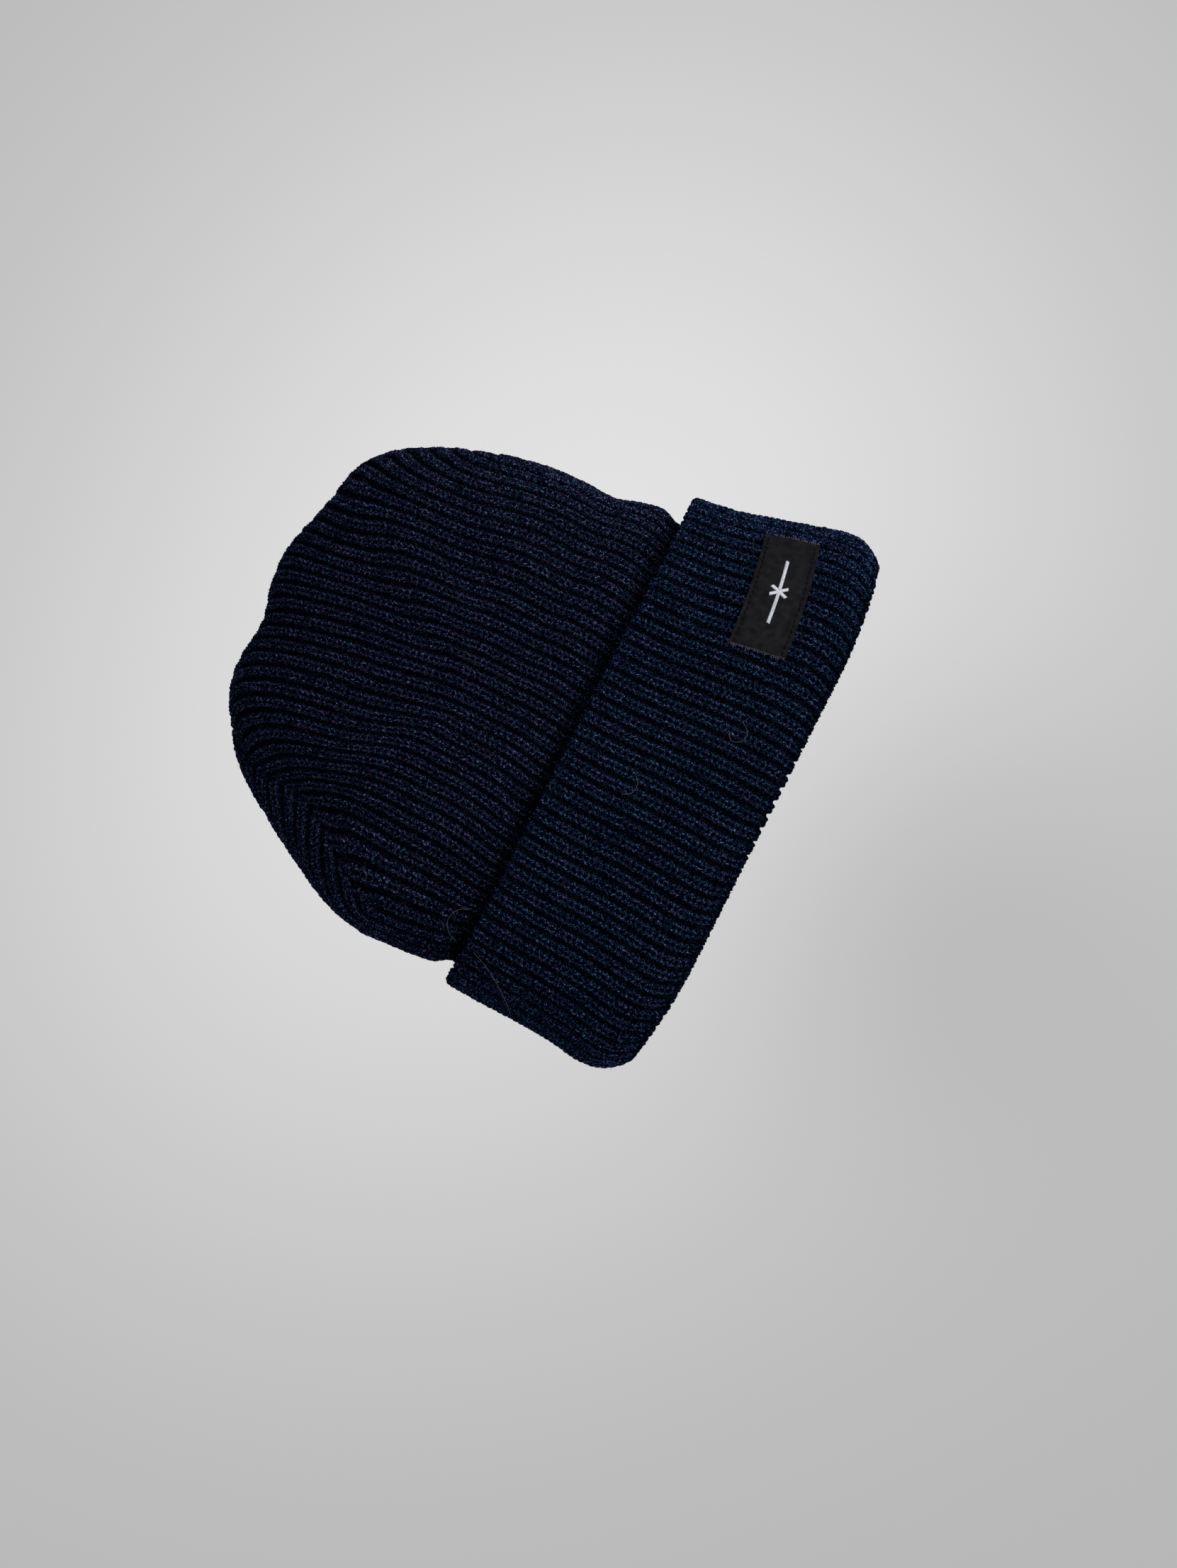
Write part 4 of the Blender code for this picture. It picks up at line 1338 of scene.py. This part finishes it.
def build_camera():
    data = bpy.data.cameras.new("camera")
    data.lens = LENS
    data.sensor_width = SENSOR
    camera = add_object("camera", data)
    back = Vector((0.0, -math.cos(CAMERA_RISE), math.sin(CAMERA_RISE)))
    camera.location = AIM + back * CAMERA_DISTANCE
    aim_at(camera, AIM, across_picture(0.0, 1.0, 0.0))
    bpy.context.scene.camera = camera


# Soft boxes: name, direction in the picture's terms, distance, size, power, colour
LIGHTS = [
    ("key", (0.65, 0.9, 0.95), 0.9, 0.5, 4.4, (1.0, 0.985, 0.96)),
    ("fill", (-0.8, 0.2, 1.0), 1.0, 0.9, 0.4, (0.92, 0.96, 1.0)),
    ("side", (1.1, -0.3, 0.8), 0.9, 0.6, 1.7, (1.0, 1.0, 1.0)),
    ("low", (0.3, -1.1, 0.8), 1.0, 0.8, 1.3, (0.95, 0.97, 1.0)),
    ("back", (-0.5, 0.5, -1.0), 1.0, 0.8, 7.0, (1.0, 1.0, 1.0)),
    ("under", (0.9, -0.45, -0.2), 0.9, 0.6, 2.0, (1.0, 1.0, 1.0)),
]
LAMP_UP = Vector((0.3, 0.2, 0.93))  # any direction that no lamp shines in, to turn the lamps' squares


def build_lights():
    for name, direction, distance, size, power, colour in LIGHTS:
        data = bpy.data.lights.new(name, "AREA")
        data.size = size
        data.energy = power
        data.color = colour
        lamp = add_object(name, data)
        lamp.location = AIM + across_picture(*direction).normalized() * distance
        aim_at(lamp, AIM, LAMP_UP)


BACKDROP_GREY = 0.47
AMBIENT = (0.80, 0.86, 1.0, 1.0)
AMBIENT_STRENGTH = 0.3
# Soft pools of painted light on the backdrop, and where the strength is negative a painted shadow: place in
# the picture (from its lower left corner), size, strength
BACKDROP_POOLS = [
    (0.55, 0.66, 0.50, 0.27),
    (0.22, 0.40, 0.40, 0.10),
    (0.78, 0.43, 0.20, -0.11),
]
PICTURE_SHAPE = 1.332  # height over width


def build_world():
    world = bpy.data.worlds.new("studio")
    bpy.context.scene.world = world
    world.use_nodes = True
    w = Wiring(world.node_tree)
    back = world.node_tree.nodes["Background"]
    window = w.node("ShaderNodeTexCoord").outputs["Window"]
    parts = w.node("ShaderNodeSeparateXYZ", {"Vector": window})
    grey = BACKDROP_GREY
    for x, y, size, strength in BACKDROP_POOLS:
        across = w.times(w.minus(parts.outputs["X"], x), 1 / size)
        up = w.times(w.minus(parts.outputs["Y"], y), PICTURE_SHAPE / size)
        square = w.plus(w.times(across, across), w.times(up, up))
        pool = w.maths("EXPONENT", w.times(square, -1.0))
        grey = w.plus(grey, w.times(pool, strength))
    backdrop = w.node("ShaderNodeCombineColor", {"Red": grey, "Green": grey, "Blue": grey}).outputs[0]
    seen = w.seen_by_camera()
    strength = w.between(seen, 0.0, 1.0, AMBIENT_STRENGTH, 1.0)
    w.feed(back, {"Color": w.mix(seen, AMBIENT, backdrop), "Strength": strength})


FLOOR_RADIUS = 0.6
FLOOR_GAP = 0.072  # room below the rim for the cuff when it is turned down
FLOOR_FADE = (0.25, 0.55)  # metres from the middle over which the floor runs out into the backdrop
FLOOR_VIEW = (0.13, 0.25)  # sine of the view angle over which the floor comes into sight
FLOOR_GREY = (0.62, 0.62, 0.63, 1.0)
FLOOR_GLOW = 0.36  # makes the floor as pale as the backdrop, for the camera only


def floor_material():
    """Pale floor for the camera only; it runs out into the backdrop, and isn't seen from a low camera."""
    material, w, shader = new_material("floor")
    seen = w.seen_by_camera()
    inputs = {
        "Base Color": FLOOR_GREY,
        "Roughness": 0.9,
        "Emission Color": FLOOR_GREY,
        "Emission Strength": w.times(seen, FLOOR_GLOW / FLOOR_GREY[0]),
    }
    w.feed(shader, inputs)
    far = w.node("ShaderNodeVectorMath", {0: w.place()}, operation="LENGTH").outputs["Value"]
    view = w.node("ShaderNodeNewGeometry").outputs["Incoming"]
    height = w.node("ShaderNodeSeparateXYZ", {"Vector": view}).outputs["Z"]
    clarity = w.times(w.between(far, *FLOOR_FADE, 1.0, 0.0), w.between(height, *FLOOR_VIEW))
    gone = w.minus(1.0, w.times(clarity, seen))
    clear = w.node("ShaderNodeBsdfTransparent").outputs[0]
    choice = w.node("ShaderNodeMixShader", {0: gone, 1: shader.outputs[0], 2: clear})
    w.feed(w.tree.nodes["Material Output"], {"Surface": choice.outputs[0]})
    return material


def build_floor():
    bpy.ops.mesh.primitive_circle_add(vertices=128, radius=FLOOR_RADIUS, fill_type="NGON")
    floor = bpy.context.object
    floor.name = "studio_floor"
    floor.location = (0.0, 0.0, cad_low.z - FLOOR_GAP)
    floor.data.materials.append(floor_material())


def main():
    body_yarn = yarn_material("navy_yarn_body", BODY_TINT)
    cuff_yarn = yarn_material("navy_yarn_cuff", CUFF_TINT)
    seam = plain_thread("seam_thread", (0.010, 0.014, 0.030, 1.0), 0.85)
    black = plain_thread("black_thread", (0.003, 0.003, 0.0035, 1.0), 0.7, 0.08)
    white = plain_thread("white_thread", (0.78, 0.79, 0.82, 1.0), 0.55)
    pale = plain_thread("pale_fibre", (0.16, 0.16, 0.18, 1.0), 0.7)
    fibre = plain_thread("loose_fibre", (0.030, 0.038, 0.075, 1.0), 0.8)
    satin = woven_cloth("label_satin", (0.0078, 0.0078, 0.0096, 1.0), 1.45, 0.6)
    tape = woven_cloth("care_tape", (0.66, 0.66, 0.64, 1.0), 2.0, 0.6)

    knit = {"body": build_body(body_yarn)}
    build_lining(body_yarn)
    knit["cuff"] = build_cuff(cuff_yarn)
    build_label(satin)
    build_fray(pale)
    build_label_stitches("upper", LABEL_HEIGHT - STITCH_INSET, black)
    build_label_stitches("lower", STITCH_INSET, black)
    build_motif(white)
    build_crown_ridge(seam)
    build_side_ridges(seam)
    build_tack(seam)
    build_care_label(tape, white)
    for table, material in ((FUZZ, fibre), (LINT, pale)):
        for name, body, count, seed in table:
            build_fuzz(name, body, count, seed, knit[body], material)
    build_hairs(pale)
    build_camera()
    build_lights()
    build_world()
    build_floor()
    bpy.context.scene.view_settings.view_transform = "Standard"


main()
